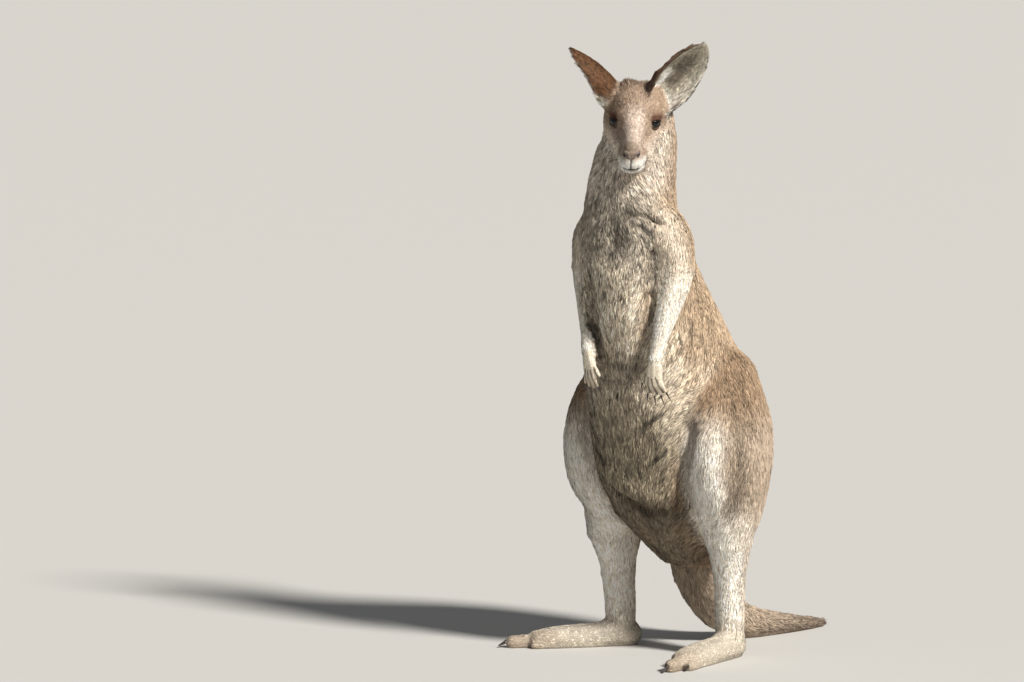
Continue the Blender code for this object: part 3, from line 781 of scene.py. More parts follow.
# painted shade: darker strips of coat where shade falls beside the arms and in the folds, and between the
# hands where
# it stands for both darker fur and shade: points along the strip, its width, the share of the colour lost
# and the part that it is on
paintedShades = {
    "armLeft": (
        (
            (0.136, -0.299, 0.815),
            (0.141, -0.296, 0.75),
            (0.139, -0.299, 0.69),
            (0.126, -0.303, 0.655),
            (0.108, -0.306, 0.6),
        ),
        0.009,
        0.8,
        "trunk",
    ),
    "armRight": (
        ((0.006, -0.322, 0.77), (0.0, -0.322, 0.7), (0.002, -0.32, 0.65), (0.016, -0.322, 0.6)),
        0.011,
        0.75,
        "trunk",
    ),
    "betweenHands": (((0.046, -0.31, 0.598), (0.1, -0.3, 0.592)), 0.026, 0.55, "trunk"),
    "underHands": (((0.02, -0.3, 0.56), (0.12, -0.29, 0.556)), 0.016, 0.45, "trunk"),
    "chestCrease": (
        ((0.09, -0.326, 0.906), (0.104, -0.32, 0.893), (0.117, -0.313, 0.891)), 0.0055, 0.6, "neck"
    ),
    "chestCreaseOuter": (
        ((0.112, -0.316, 0.893), (0.137, -0.292, 0.885), (0.152, -0.284, 0.874)), 0.005, 0.65, ""
    ),
    "chestHollow": (((0.066, -0.337, 0.868), (0.072, -0.337, 0.826)), 0.014, 0.3, ""),
    "pouch": (
        ((-0.02, -0.25, 0.35), (0.04, -0.246, 0.316), (0.085, -0.228, 0.294), (0.107, -0.215, 0.298)),
        0.012,
        0.6,
        "",
    ),
    "groinCentre": (((0.08, -0.218, 0.29), (0.09, -0.2, 0.25), (0.094, -0.185, 0.215)), 0.01, 0.55, ""),
    "groinSide": (((0.128, -0.205, 0.3), (0.132, -0.185, 0.262)), 0.012, 0.45, ""),
    "thighEdge": (
        ((0.184, -0.226, 0.478), (0.172, -0.226, 0.425), (0.157, -0.22, 0.372), (0.144, -0.198, 0.3)),
        0.01,
        0.6,
        "",
    ),
    "behindKnee": (
        ((0.262, -0.17, 0.44), (0.258, -0.168, 0.38), (0.238, -0.165, 0.3)), 0.024, 0.3, "thigh"
    ),
}
parting = {"middle": 0.0507, "width": 0.0055, "dark": 0.85, "lift": 16}
noseTip = np.array((0.0, -0.112, -0.03))
footTurn = {"left": 2, "right": 42}  # degrees outwards


def topOf(name):
    # the middle of the top of a node's box
    low, high = (np.array(corner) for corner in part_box(name))
    return np.array((*(low + high)[:2] / 2, high[2]))


# painted shade in the gaps between the fingers, from between two claws towards the wrist
fingerGapShade = {"reach": 0.46, "width": 0.0019, "dark": 0.8}
for side in ("left", "right"):
    wrist = topOf(f"hand_{side}")
    clawRoots = [topOf(f"claw_{number}_{side}") for number in range(1, 6)]
    for number, (one, other) in enumerate(zip(clawRoots, clawRoots[1:])):
        gap = (one + other) / 2
        line = (gap - 0.15 * (wrist - gap), gap + fingerGapShade["reach"] * (wrist - gap))
        paintedShades[f"finger{number}{side.title()}"] = (line, fingerGapShade["width"], fingerGapShade["dark"], "hand")


def boxCentre(name):
    return np.array(sum(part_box(name), Vector()) / 2)


def coatFlow(points, normals, owners):
    # the way the coat lies: down the body, along each limb from its root to its end, away from the nose on
    # the head and from root to tip on the ears
    part = partOf[owners]
    aside = points[:, 0] - spinePlace(points[:, 2])[:, 0]
    flank = ease(0.03, 0.11, np.abs(aside)) * ease(0.8, 0.55, points[:, 2])
    inward = -0.9 * np.sign(aside) * flank * ease(0.0, 0.6, -normals[:, 1])
    flow = np.stack([inward, 0.1 - 0.6 * flank, np.full(len(flank), -1.0)], axis=1)
    flow[part == "thigh"] *= (0.3, 0.3, 1)
    outward = (
        np.sign(aside)
        * ease(0.0, 0.06, np.abs(aside))
        * ease(0.0, 0.5, -normals[:, 1])
        * ease(0.76, 0.84, points[:, 2])
    )
    flow[:, 0] += 0.5 * outward
    flow[part == "neck"] = (0.0, 0.05, -1.0)
    flow[part == "neck", 0] = 0.5 * outward[part == "neck"]
    flow[part == "shank"] = (0.0, 0.0, -1.0)
    away = toHead(points) - noseTip
    away[:, 2] -= 0.25 * np.linalg.norm(away, axis=1)
    flow[part == "head"] = (unit(away) @ headTurn.T)[part == "head"]
    for side in ("left", "right"):
        sign = 1 if side == "left" else -1
        shoulder, elbow, wrist = (boxCentre(name + side) for name in ("upper_arm_", "forearm_", "hand_"))
        turn = math.radians(footTurn[side])
        ways = {
            "upper_arm_": elbow - shoulder,
            "forearm_": wrist - elbow,
            "hand_": (-0.1 * sign, -0.1, -1),
            "foot_": (sign * math.sin(turn), -math.cos(turn), -0.15),
            "ear_": earPlaces(points[:1], side)[3],
        }
        for name, way in ways.items():
            flow[owners == nodeNumber[name + side]] = way
    base, middle, tip = (boxCentre(name) for name in ("tail_base", "tail_middle", "tail_tip"))
    flow[part == "tail_base"] = middle - base
    flow[part == "tail_middle"] = tip - base
    flow[part == "tail_tip"] = tip - middle
    return unit(flow)


flow = relaxed(coatFlow(skinPoints, skinNormals, owner), skinEdges, 24, 0.6)
swirl = np.stack([latticeNoise(skinPoints, 0.055, seed) for seed in (11, 12, 13)], axis=1)
onBelly = (
    (partOf[owner] == "trunk") * ease(0.1, 0.6, -skinNormals[:, 1]) * ease(0.48, 0.6, skinPoints[:, 2])
)
# the coat is ruffled on the chest, the throat and the belly, and smooth elsewhere
skinRuffle = np.isin(partOf[owner], ("trunk", "neck")) * ease(-0.1, 0.5, -skinNormals[:, 1])
skinRuffle = relaxed(skinRuffle, skinEdges, 12, 0.6)
calmFlow = np.isin(partOf[owner], ("head", "ear", "hand", "foot"))
flow += (0.22 * np.where(calmFlow, 0.3, 1) + 0.25 * onBelly)[:, None] * swirl
flow -= (flow * skinNormals).sum(axis=1)[:, None] * skinNormals
flow = unit(flow)
tufts = np.array([tuftParts[part] for part in partOf])[owner]
tuftLength, tuftWidth, tuftLift, tuftSpeckle = relaxed(tufts, skinEdges, 14, 0.6).T.copy()
# down the leg the coat shortens over the whole of the knee, and on the belly its flecks are strongest
leg = np.isin(partOf[owner], ("thigh", "shank"))
lower = ease(0.36, 0.2, skinPoints[:, 2])
tuftLength = np.where(leg, tuftParts["thigh"][0] * (1 - lower) + tuftParts["shank"][0] * lower, tuftLength)
tuftSpeckle += 0.36 * onBelly
hollows = {name: stroke for name, stroke in bodyStrokes.items() if stroke[2] < 0}
onArm = np.isin(partOf[owner], ("forearm", "hand", "upper_arm"))


def hollowAt(points):
    # how deep in a fold each point lies, from 0 to 1
    return np.clip(-strokeMoves(points, hollows) / 0.02, 0, 1)


# in the folds the coat is shorter, and the skin is painted darker there as painted shade
inFold = hollowAt(skinPoints) * ~onArm
tuftLength *= 1 - 0.4 * inFold
skinColour *= 1 - 0.6 * inFold[:, None]


def partedAt(points):
    # 1 on a parting and falling off beside it
    parted = np.zeros(len(points))
    for line, bothSides in partings.values():
        for sign in (1, -1) if bothSides else (1,):
            middle = parting["middle"]
            spots = [(middle + sign * (x - middle), y, z) for x, y, z in line]
            parted = np.maximum(parted, falloff(nearLine(points, spots), parting["width"]))
    return parted


def paintedShadeAt(points, owners):
    # share of the colour lost to the strips of painted shade
    lost = np.zeros(len(points))
    for line, width, dark, part in paintedShades.values():
        # the painted shade of the gaps between fingers shows on both faces of the hand
        through = (1, 0, 1) if part == "hand" else (1, 1, 1)
        spots = [np.array(spot) * through for spot in line]
        here = (partOf[owners] == part) | (part == "")
        here = here * dark * falloff(nearLine(points * through, spots), width)
        lost = np.maximum(lost, here)
    return lost


local = toHead(skinPoints)
inHead = partOf[owner] == "head"
reach = np.where(inHead, ease(0.105, 0.0, -local[:, 1]), 1)
cheeks = ease(-0.005, 0.03, local[:, 1]) * ease(0.0, -0.03, local[:, 2])
fluff = cheeks + ease(0.035, 0.06, local[:, 1]) * ease(0.03, 0.05, local[:, 2])
tuftLength *= np.where(inHead, (0.42 + 0.75 * reach) * (1 + 0.7 * fluff), 1)
tuftLift += np.where(inHead, 9 * fluff, 0)
folded = foldedOver(local)
crownHair = falloff(nearSegment(folded, (0.004, 0.046, 0.062), (0.027, 0.044, 0.06)), 0.01) * inHead
rootHair = falloff(nearSegment(folded, (0.02, 0.052, 0.06), (0.038, 0.056, 0.046)), 0.012) * inHead
tuftLength *= 1 + 0.7 * crownHair + 0.6 * rootHair
tuftLift += 12 * crownHair + 14 * rootHair
for side in ("left", "right"):
    mine = owner == nodeNumber["ear_" + side]
    earEdge = np.abs(earPlaces(skinPoints[mine], side)[1])
    tuftLength[mine] *= 1 + 0.7 * ease(0.7, 0.95, earEdge)
fromEye = np.linalg.norm(folded - (0.0445, 0.001, 0.002), axis=1)
tuftLength *= np.where(inHead, 0.4 + 0.6 * ease(0.014, 0.026, fromEye), 1)
tuftWidth *= np.where(inHead, 0.75 + 0.35 * reach, 1)
report("lie of the coat worked out")

# materials


def newMaterial(name):
    made = bpy.data.materials.new(name)
    made.use_nodes = True
    return made, made.node_tree, made.node_tree.nodes["Principled BSDF"]


def link(tree, first, output, second, entry):
    # one node's output to another's input
    tree.links.new(first.outputs[output], second.inputs[entry])


def addNode(tree, kind, **inputs):
    # a node whose unlinked inputs are set by name, with spaces left out
    node = tree.nodes.new(kind)
    for name, value in inputs.items():
        found = next(socket for socket in node.inputs if socket.name.replace(" ", "") == name)
        found.default_value = value
    return node


def addAttribute(tree, name):
    node = tree.nodes.new("ShaderNodeAttribute")
    node.attribute_name = name
    return node


def addMath(tree, operation, second=None, third=None):
    # a Math node whose second and third values may be fixed
    node = tree.nodes.new("ShaderNodeMath")
    node.operation = operation
    for entry, value in ((1, second), (2, third)):
        if value is not None:
            node.inputs[entry].default_value = value
    return node


def addRamp(tree, stops):
    # a ramp through these places and colours
    ramp = tree.nodes.new("ShaderNodeValToRGB")
    while len(ramp.color_ramp.elements) < len(stops):
        ramp.color_ramp.elements.new(0.5)
    for element, (place, colour) in zip(ramp.color_ramp.elements, stops):
        element.position = place
        element.color = (*colour, 1)
    return ramp


def grainedMaterial(name, grained, stops, roughness, bump=None):
    # two tones in fine grain on object coordinates, raised by the same grain where a bump is given
    made, tree, shader = newMaterial(name)
    where = tree.nodes.new("ShaderNodeTexCoord")
    grain = addNode(tree, "ShaderNodeTexNoise", **grained)
    ramp = addRamp(tree, stops)
    link(tree, where, "Object", grain, "Vector")
    link(tree, grain, "Fac", ramp, "Fac")
    link(tree, ramp, "Color", shader, "Base Color")
    shader.inputs["Roughness"].default_value = roughness
    if bump:
        raised = addNode(tree, "ShaderNodeBump", **bump)
        link(tree, grain, "Fac", raised, "Height")
        link(tree, raised, "Normal", shader, "Normal")
    return made


def hairBreakup():
    # fine mottle on object coordinates: it gives a tone that multiplies a colour, a roughness and a height
    group = bpy.data.node_groups.new("hairBreakup", "ShaderNodeTree")
    for name, kind, default in (
        ("Colour", "NodeSocketColor", (0.5, 0.5, 0.5, 1)),
        ("Scale", "NodeSocketFloat", 220),
        ("Amount", "NodeSocketFloat", 0.4),
        ("Dryness", "NodeSocketFloat", 0.7),
    ):
        group.interface.new_socket(name, in_out="INPUT", socket_type=kind).default_value = default
    for name, kind in (
        ("Colour", "NodeSocketColor"), ("Roughness", "NodeSocketFloat"), ("Height", "NodeSocketFloat")
    ):
        group.interface.new_socket(name, in_out="OUTPUT", socket_type=kind)
    start = group.nodes.new("NodeGroupInput")
    end = group.nodes.new("NodeGroupOutput")
    where = group.nodes.new("ShaderNodeTexCoord")
    fine = addNode(group, "ShaderNodeTexNoise", Detail=4.0, Roughness=0.65)
    link(group, where, "Object", fine, "Vector")
    link(group, start, "Scale", fine, "Scale")
    centred = addMath(group, "SUBTRACT", second=0.5)
    link(group, fine, "Fac", centred, 0)
    scaled = addMath(group, "MULTIPLY")
    link(group, centred, 0, scaled, 0)
    link(group, start, "Amount", scaled, 1)
    tone = addMath(group, "MULTIPLY_ADD", second=2.0, third=1.0)
    link(group, scaled, 0, tone, 0)
    tinted = group.nodes.new("ShaderNodeVectorMath")
    tinted.operation = "SCALE"
    link(group, start, "Colour", tinted, 0)
    link(group, tone, 0, tinted, "Scale")
    link(group, tinted, 0, end, "Colour")
    rough = addMath(group, "ADD")
    rough.use_clamp = True
    link(group, scaled, 0, rough, 0)
    link(group, start, "Dryness", rough, 1)
    link(group, rough, 0, end, "Roughness")
    link(group, fine, "Fac", end, "Height")
    return group


breakup = hairBreakup()


def hairMaterial(name, settings):
    # colour from the coatColour attribute, mottled, with roughness and bump from the same mottle
    made, tree, shader = newMaterial(name)
    colour = addAttribute(tree, "coatColour")
    mottle = tree.nodes.new("ShaderNodeGroup")
    mottle.node_tree = breakup
    mottle.inputs["Scale"].default_value = settings["scale"]
    mottle.inputs["Amount"].default_value = settings["amount"]
    mottle.inputs["Dryness"].default_value = settings["roughness"]
    bump = addNode(tree, "ShaderNodeBump", Strength=settings["bump"], Distance=settings["bumpHeight"])
    link(tree, colour, "Color", mottle, "Colour")
    link(tree, mottle, "Colour", shader, "Base Color")
    link(tree, mottle, "Roughness", shader, "Roughness")
    link(tree, mottle, "Height", bump, "Height")
    link(tree, bump, "Normal", shader, "Normal")
    shader.inputs["Specular IOR Level"].default_value = settings["shine"]
    return made


looks = ("scale", "amount", "roughness", "bump", "bumpHeight", "shine")
skinLooks = dict(zip(looks, (420, 0.45, 0.85, 0.6, 0.0012, 0.2)))
coatLooks = dict(zip(looks, (300, 0.3, 0.7, 0.15, 0.0004, 0.3)))
skinMaterial = hairMaterial("shortFur", skinLooks)
coatMaterial = hairMaterial("coatHair", coatLooks)

# the skin as one piece

finer = np.isin(partOf[owner], ("hand", "foot", "ear")) | (inHead & (local[:, 1] < 0.03))
holder = temporary("skinWork", smoothMesh)
group = holder.vertex_groups.new(name="plain")
group.add(np.where(~finer)[0].tolist(), 1.0, "REPLACE")
thinner = holder.modifiers.new("Thinner", "DECIMATE")
thinner.ratio = skinShape["kept"]
thinner.vertex_group = "plain"
skinMesh = evaluated(holder)
bpy.data.objects.remove(holder, do_unlink=True)
skinMesh.name = "skin"
finePoints = treeOf(skinPoints)
match = nearestIn(finePoints, pointsOf(skinMesh))
# the skin takes the strips of painted shade, and at 0.7 of the coat's colour it is painted shade under the
# tufts
drawn = skinColour * (1 - paintedShadeAt(skinPoints, owner))[:, None]
paint(skinMesh, drawn[match] * 0.7)
addPiece("skin", skinMesh, skinMaterial, "coat_grey", *fleshNodes)
report(f"skin finished, {len(skinMesh.polygons)} faces")

# unwrap: each part unrolled round its own axis

tubeAxes = {"foot": "y", "tail_middle": "y", "tail_tip": "y"}


def unrolled(points, owners, normals):
    # for each point the angle round its part's axis and the distance along it, both from 0 to 1
    spread = np.zeros((len(points), 2))
    for number in np.unique(owners):
        mine = owners == number
        name, part = fleshNodes[number], partOf[number]
        spots = points[mine]
        if part == "ear":
            length, offset, opening = earPlaces(spots, name.split("_")[1])[:3]
            inside = normals[mine] @ opening > 0
            spread[mine, 0] = np.clip(0.25 + 0.22 * offset, 0, 0.49) + 0.5 * inside
            spread[mine, 1] = length
            continue
        if part == "head":
            flat = toHead(spots)
            angle = np.arctan2(flat[:, 0], flat[:, 2] + 0.015)
            along = flat[:, 1]
        elif part == "trunk":
            flat = spots - spinePlace(spots[:, 2])
            angle = np.arctan2(flat[:, 0], -flat[:, 1])
            along = spots[:, 2]
        else:
            centre = boxCentre(name)
            flat = spots - centre
            if tubeAxes.get(part) == "y":
                angle, along = np.arctan2(flat[:, 0], flat[:, 2]), spots[:, 1]
            else:
                angle, along = np.arctan2(flat[:, 0], -flat[:, 1]), spots[:, 2]
        spread[mine, 0] = angle / (2 * math.pi) + 0.5
        spread[mine, 1] = along
        low, high = spread[mine, 1].min(), spread[mine, 1].max()
        spread[mine, 1] = (spread[mine, 1] - low) / max(high - low, 1e-6)
    return spread


def packed(spread, owners):
    # the parts of one piece side by side in the unit square, each stretched to fill its own strip
    numbers = np.unique(owners)
    placed = np.zeros_like(spread)
    for order, number in enumerate(numbers):
        mine = owners == number
        part = spread[mine]
        low, high = part.min(axis=0), part.max(axis=0)
        part = (part - low) / np.maximum(high - low, 1e-6)
        strip = 1 / len(numbers)
        placed[mine, 0] = (order + 0.03 + 0.94 * part[:, 0]) * strip
        placed[mine, 1] = 0.01 + 0.98 * part[:, 1]
    return placed


# the coat

coat = {
    "seed": 71,
    "patch": 0.003,  # width of a tuft's patch on the map
    "clumpEvery": 11,  # one root in this many gathers those around it
    "gather": 0.34,
    "waver": 0.14,
    "streak": 0.4,
    "lengthSpread": 0.28,
    "tilt": 0.12,
    "round": 0.35,
    "bend": 0.42,  # share of its length at which a tuft is widest and starts to lean back
    "leanBack": 0.45,  # share of the lift that is left at the tip
    "rootDepth": 0.0008,
    "lowest": {"root": 0.0002, "tip": 0.0006, "middle": 0.001},  # heights above the floor
    "liftSpread": 5,  # degrees, as are the next two
    "leastLift": 6,
    "mostLift": 58,
}
# light of the tufts, as shares of the colour of the skin's point
coatTones = {
    "spread": 0.21,  # at random from tuft to tuft
    "lockSpread": 0.13,  # at random from lock to lock
    "ruffledSpread": 0.13,  # added to both where the coat is ruffled
    "limits": (0.35, 1.6),
    "root": 0.78,
    "ruffledRoot": 0.24,  # taken off the root where the coat is ruffled
    "tip": 1.04,
    "darkTip": 0.68,
    "paleTip": 1.18,
    "darkTips": 0.18,  # share of the tufts
    "paleAbove": 0.72,  # share of the tufts whose tips are not pale
    "speckleWidth": 0.0055,
}
# pieces of the coat: the parts they cover and how many tufts they have
coatPieces = {
    "coatHead": (("head",), 44000),
    "coatEars": (("ear",), 17000),
    "coatNeck": (("neck",), 30000),
    "coatChest": (("trunk",), 30000),
    "coatBelly": (("trunk",), 34000),
    "coatBack": (("trunk",), 21000),
    "coatRump": (("trunk", "tail_base"), 23000),
    "coatThighLeft": (("thigh_left",), 43000),
    "coatThighRight": (("thigh_right",), 39000),
    "coatArms": (("upper_arm", "forearm"), 24000),
    "coatHands": (("hand",), 9000),
    "coatShanks": (("shank",), 24000),
    "coatFeet": (("foot",), 19000),
    "coatTail": (("tail_middle", "tail_tip"), 17000),
}
trunkSplit = 0.6  # height that parts the chest from the belly and the back from the rump

corner = skinPoints[skinFaces]
faceArea = 0.5 * np.linalg.norm(np.cross(corner[:, 1] - corner[:, 0], corner[:, 2] - corner[:, 0]), axis=1)
faceOwner = owner[skinFaces[:, 0]]
faceCentre = corner.mean(axis=1)
faceFront = faceCentre[:, 1] < spinePlace(faceCentre[:, 2])[:, 1] + 0.02


def inPiece(name):
    # which faces of the skin a piece of the coat covers
    parts = coatPieces[name][0]
    names = np.array(fleshNodes)[faceOwner]
    chosen = np.isin(partOf[faceOwner], parts) | np.isin(names, parts)
    high = faceCentre[:, 2] > trunkSplit
    inTrunk = partOf[faceOwner] == "trunk"
    if name == "coatChest":
        chosen &= high & faceFront
    if name == "coatBelly":
        chosen &= ~high & faceFront
    if name == "coatBack":
        chosen &= high & ~faceFront
    if name == "coatRump":
        chosen &= ~inTrunk | (~high & ~faceFront)
    return chosen


# spots of the head without hair, on both sides: place, scale along each axis and radius
bareSpots = {
    "eye": ((0.044, -0.0015, 0.0015), (0.9, 0.9, 1.15), 0.0118),
    "tearCorner": ((0.0415, -0.0125, -0.003), (1, 1, 1), 0.0046),
    "noseLeather": ((0, -0.107, -0.0285), (0.66, 1, 1.15), 0.0105),
    "nostril": ((0.0145, -0.103, -0.025), (1, 1, 1), 0.005),
}


def isBare(points, normals):
    # true on the bare spots, the mouth's line, the cleft of the lip and the soles
    flat = foldedOver(toHead(points))
    bare = (points[:, 2] < 0.003) & (normals[:, 2] < -0.5)
    for place, scale, radius in bareSpots.values():
        bare |= np.linalg.norm((flat - place) * scale, axis=1) < radius
    side, back, up = flat.T
    bare |= (back < -0.08) & (np.abs(up + 0.0575 - 0.06 * side) < 0.0022) & (side < 0.0125)
    bare |= (back < -0.08) & (side < 0.0013) & (up < -0.036) & (up > -0.058)
    return bare


def makeTufts(name, number):
    # roots spread at random by area; each tuft is a closed blade of four points: its root under the skin,
    # its two edges where it bends and its tip, which leans back towards the skin
    dice = np.random.default_rng(coat["seed"] + number)
    chosen = np.where(inPiece(name))[0]
    count = coatPieces[name][1]
    chance = np.cumsum(faceArea[chosen])
    face = chosen[np.searchsorted(chance, dice.random(count) * chance[-1])]
    a, b = dice.random(count), dice.random(count)
    flip = a + b > 1
    a, b = np.where(flip, 1 - a, a), np.where(flip, 1 - b, b)
    weights = np.stack([1 - a - b, a, b], axis=1)[..., None]
    ends = skinFaces[face]

    def at(values):
        # values of the skin's points, blended between the three corners round each root
        return (values[ends] * (weights if values.ndim > 1 else weights[..., 0])).sum(axis=1)

    root, normal = at(skinPoints), unit(at(skinNormals))
    reach = at(tuftLength)[:, None] * unit(at(flow))
    grows = ~(isBare(root, normal) | isBare(root + reach, normal))
    root, normal, ends, weights = root[grows], normal[grows], ends[grows], weights[grows]
    count = len(root)
    owners = owner[ends[:, 0]]
    part = partOf[owners]
    lie = at(flow)
    length, width, lift, speckle = map(at, (tuftLength, tuftWidth, tuftLift, tuftSpeckle))
    along = root + (0.5 * length)[:, None] * unit(lie)
    parted = partedAt(along)
    # painted shade: tufts in the folds and on the strips of painted shade lose light
    shaded = 0.45 * hollowAt(along) * ~np.isin(part, ("forearm", "hand", "upper_arm"))
    shaded = 1 - (1 - shaded) * (1 - paintedShadeAt(along, owners))
    colour = at(skinColour)

    upright = ~np.isin(part, ("head", "ear", "foot", "tail_middle", "tail_tip"))
    # locks are drawn out down the body
    drawn = root * np.where(upright[:, None], (1, 1, coat["streak"]), 1)
    small, wide = latticeNoise(drawn, 0.009, 21), latticeNoise(root, 0.03, 22)
    ruffled = at(skinRuffle)
    short = np.isin(part, ("head", "ear", "hand", "foot", "shank", "forearm"))
    calm = np.where(short, 0.35, 0.3 + 0.7 * ruffled)
    length *= 1 + coat["lengthSpread"] * (2 * dice.random(count) - 1)
    lift = lift * (1 + calm * (0.35 * small + 0.45 * wide)) + parting["lift"] * parted
    lift = np.radians(lift + coat["liftSpread"] * dice.standard_normal(count))
    lift = np.clip(lift, math.radians(coat["leastLift"]), math.radians(coat["mostLift"]))
    sideways = (0.2 * calm * small)[:, None] * np.cross(normal, lie)
    lie = lie + coat["waver"] * dice.standard_normal((count, 3)) + sideways
    lie = unit(lie - (lie * normal).sum(axis=1)[:, None] * normal)
    across = np.cross(normal, lie)
    upwards = lie * np.cos(lift)[:, None] + normal * np.sin(lift)[:, None]
    middle = root + (coat["bend"] * length)[:, None] * upwards
    low = coat["leanBack"] * lift
    tip = root + length[:, None] * (lie * np.cos(low)[:, None] + normal * np.sin(low)[:, None])

    leaders = np.arange(0, count, coat["clumpEvery"])
    leader = leaders[nearestIn(treeOf(drawn[leaders]), drawn)]
    pull = coat["gather"] * (0.4 + 0.6 * calm) * (0.6 + 0.8 * dice.random(count))
    tip += pull[:, None] * (tip[leader] - tip)
    middle += 0.35 * pull[:, None] * (middle[leader] - middle)
    tip[:, 2] = np.maximum(tip[:, 2], coat["lowest"]["tip"])
    middle[:, 2] = np.maximum(middle[:, 2], coat["lowest"]["middle"])

    half = (0.5 * width * (0.75 + 0.5 * dice.random(count)))[:, None]
    places = np.stack(
        [root - coat["rootDepth"] * normal, middle - half * across, middle + half * across, tip], axis=1
    )
    places[..., 2] = np.maximum(places[..., 2], coat["lowest"]["root"])
    triangles = np.array([(0, 1, 2), (3, 2, 1), (0, 3, 1), (0, 2, 3)])
    faces = (np.arange(count)[:, None, None] * 4 + triangles).reshape(-1, 3)
    mesh = makeMesh(name, places.reshape(-1, 3), faces)
    # a tuft takes the light as the skin under it does, only a little rounded across and tilted at random
    faced = normal + coat["tilt"] * dice.standard_normal((count, 3))
    rounded = coat["round"] * across
    shading = unit(np.stack([faced, faced - rounded, faced + rounded, faced], axis=1).reshape(-1, 3))
    mesh.normals_split_custom_set_from_vertices(shading)

    more = coatTones["ruffledSpread"] * ruffled
    lockTone = 1 + (coatTones["lockSpread"] + more) * dice.standard_normal(count)[leader]
    fleckSize = np.where(np.isin(part, ("head", "ear")), 1.6, 1.0)[:, None]
    flecks = latticeNoise(root * (1, 1, 0.7) * fleckSize, coatTones["speckleWidth"], 23)
    flecks = ease(0.05, 0.75, flecks + 0.45 * dice.standard_normal(count))
    tone = np.clip(1 + (coatTones["spread"] + more) * dice.standard_normal(count), *coatTones["limits"])
    tone *= lockTone * (1 + 0.08 * calm * small)
    tone *= (1 - speckle * flecks) * (1 + 0.3 * speckle) * (1 - parting["dark"] * parted) * (1 - shaded)
    ticked = dice.random(count)
    tipTone = np.where(ticked > coatTones["paleAbove"], coatTones["paleTip"], coatTones["tip"])
    tipTone = np.where(ticked < coatTones["darkTips"] * calm, coatTones["darkTip"], tipTone)
    body = colour * tone[:, None]
    rootTone = (coatTones["root"] - coatTones["ruffledRoot"] * ruffled)[:, None]
    tones = np.stack([body * rootTone, body, body, body * tipTone[:, None]], axis=1)
    paint(mesh, np.clip(tones, 0, 0.95).reshape(-1, 3))

    centre = packed(unrolled(root, owners, normal), owners)
    step = coat["patch"] / 2
    corners = np.array([(0, -step), (-step, 0), (step, 0), (0, step)])
    layout = (centre[:, None, :] + corners).reshape(-1, 2)
    layer = mesh.uv_layers.new(name="OFBake")
    layer.uv.foreach_set("vector", np.clip(layout[faces.ravel()], 0, 1).astype(np.float32).ravel())
    return addPiece(name, mesh, coatMaterial, "coat_grey")


total = 0
for number, name in enumerate(coatPieces):
    total += len(makeTufts(name, number).data.polygons)
report(f"coat finished, {total} triangles")

# eyes, lids, nose, claws


eye = {
    "radius": 0.0141,
    "gaze": (0.62, -0.74, 0.22),
    "corneaRise": 0.0018,
    "corneaWidth": 0.0078,
    "rows": 40,
    "columns": 64,
}


def gazeFrame(sign):
    # the eye's outward direction, its forward direction along the face and its up, in the model's frame
    outward = unit(np.array(eye["gaze"]) * (sign, 1, 1))
    up = unit(np.array((0, 0, 1.0)) - outward[2] * outward)
    forward = np.cross(up, outward) * sign
    forward = forward * np.sign(-forward[1])
    return headTurn @ outward, headTurn @ forward, headTurn @ up


def eyeMaterial():
    # a black pupil in a dark brown iris, by distance from the gaze, stored as an attribute
    made, tree, shader = newMaterial("eyeGloss")
    share = addAttribute(tree, "fromPupil")
    stops = ((0.0, (0.002, 0.0015, 0.001)), (0.33, (0.002, 0.0015, 0.001)), (0.4, (0.03, 0.013, 0.006)))
    stops += ((0.62, (0.022, 0.01, 0.005)), (0.72, (0.006, 0.004, 0.003)), (1.0, (0.05, 0.035, 0.028)))
    ramp = addRamp(tree, stops)
    link(tree, share, "Fac", ramp, "Fac")
    link(tree, ramp, "Color", shader, "Base Color")
    shader.inputs["Roughness"].default_value = 0.06
    shader.inputs["Specular IOR Level"].default_value = 0.42
    return made


eyeGloss = eyeMaterial()


def makeEye(side, sign):
    # a ball on a grid of angle from the gaze and angle round it, raised by a Gaussian cornea at the gaze
    outward, forward, up = gazeFrame(sign)
    rows = np.linspace(0, math.pi, eye["rows"])[1:-1]
    turn = np.linspace(0, 2 * math.pi, eye["columns"], endpoint=False)
    away = np.sin(rows)[:, None] * eye["radius"]
    bulge = eye["corneaRise"] * falloff(away, eye["corneaWidth"]) * (np.cos(rows)[:, None] > 0)
    radius = eye["radius"] + bulge
    spots = (
        (np.sin(rows)[:, None] * np.cos(turn) * radius)[..., None] * forward
        + (np.sin(rows)[:, None] * np.sin(turn) * radius)[..., None] * up
        + (np.cos(rows)[:, None] * radius)[..., None] * outward
    ).reshape(-1, 3)
    poles = np.array([outward * (eye["radius"] + eye["corneaRise"]), -outward * eye["radius"]])
    places = np.vstack([spots, poles]) + eyeCentre[side]
    mesh = makeMesh("eye_" + side + "_ball", places, closedGrid(len(rows), eye["columns"]))
    turnOut(mesh)
    share = np.concatenate([np.repeat(rows / math.pi * 2, eye["columns"]), [0, 2]])
    setAttribute(mesh, "fromPupil", "FLOAT", np.clip(share, 0, 1))
    return addPiece("eyeBall_" + side, mesh, eyeGloss, "eye_dark", "eye_" + side)


lid = {
    "halfWidth": 0.0134,
    "above": 0.0052,
    "below": 0.0062,
    "thickness": 0.0018,
    "columns": 96,
    "reach": 1.3,  # angle from the gaze at which the lids end, under the coat
    "tearCorner": 0.0036,
}


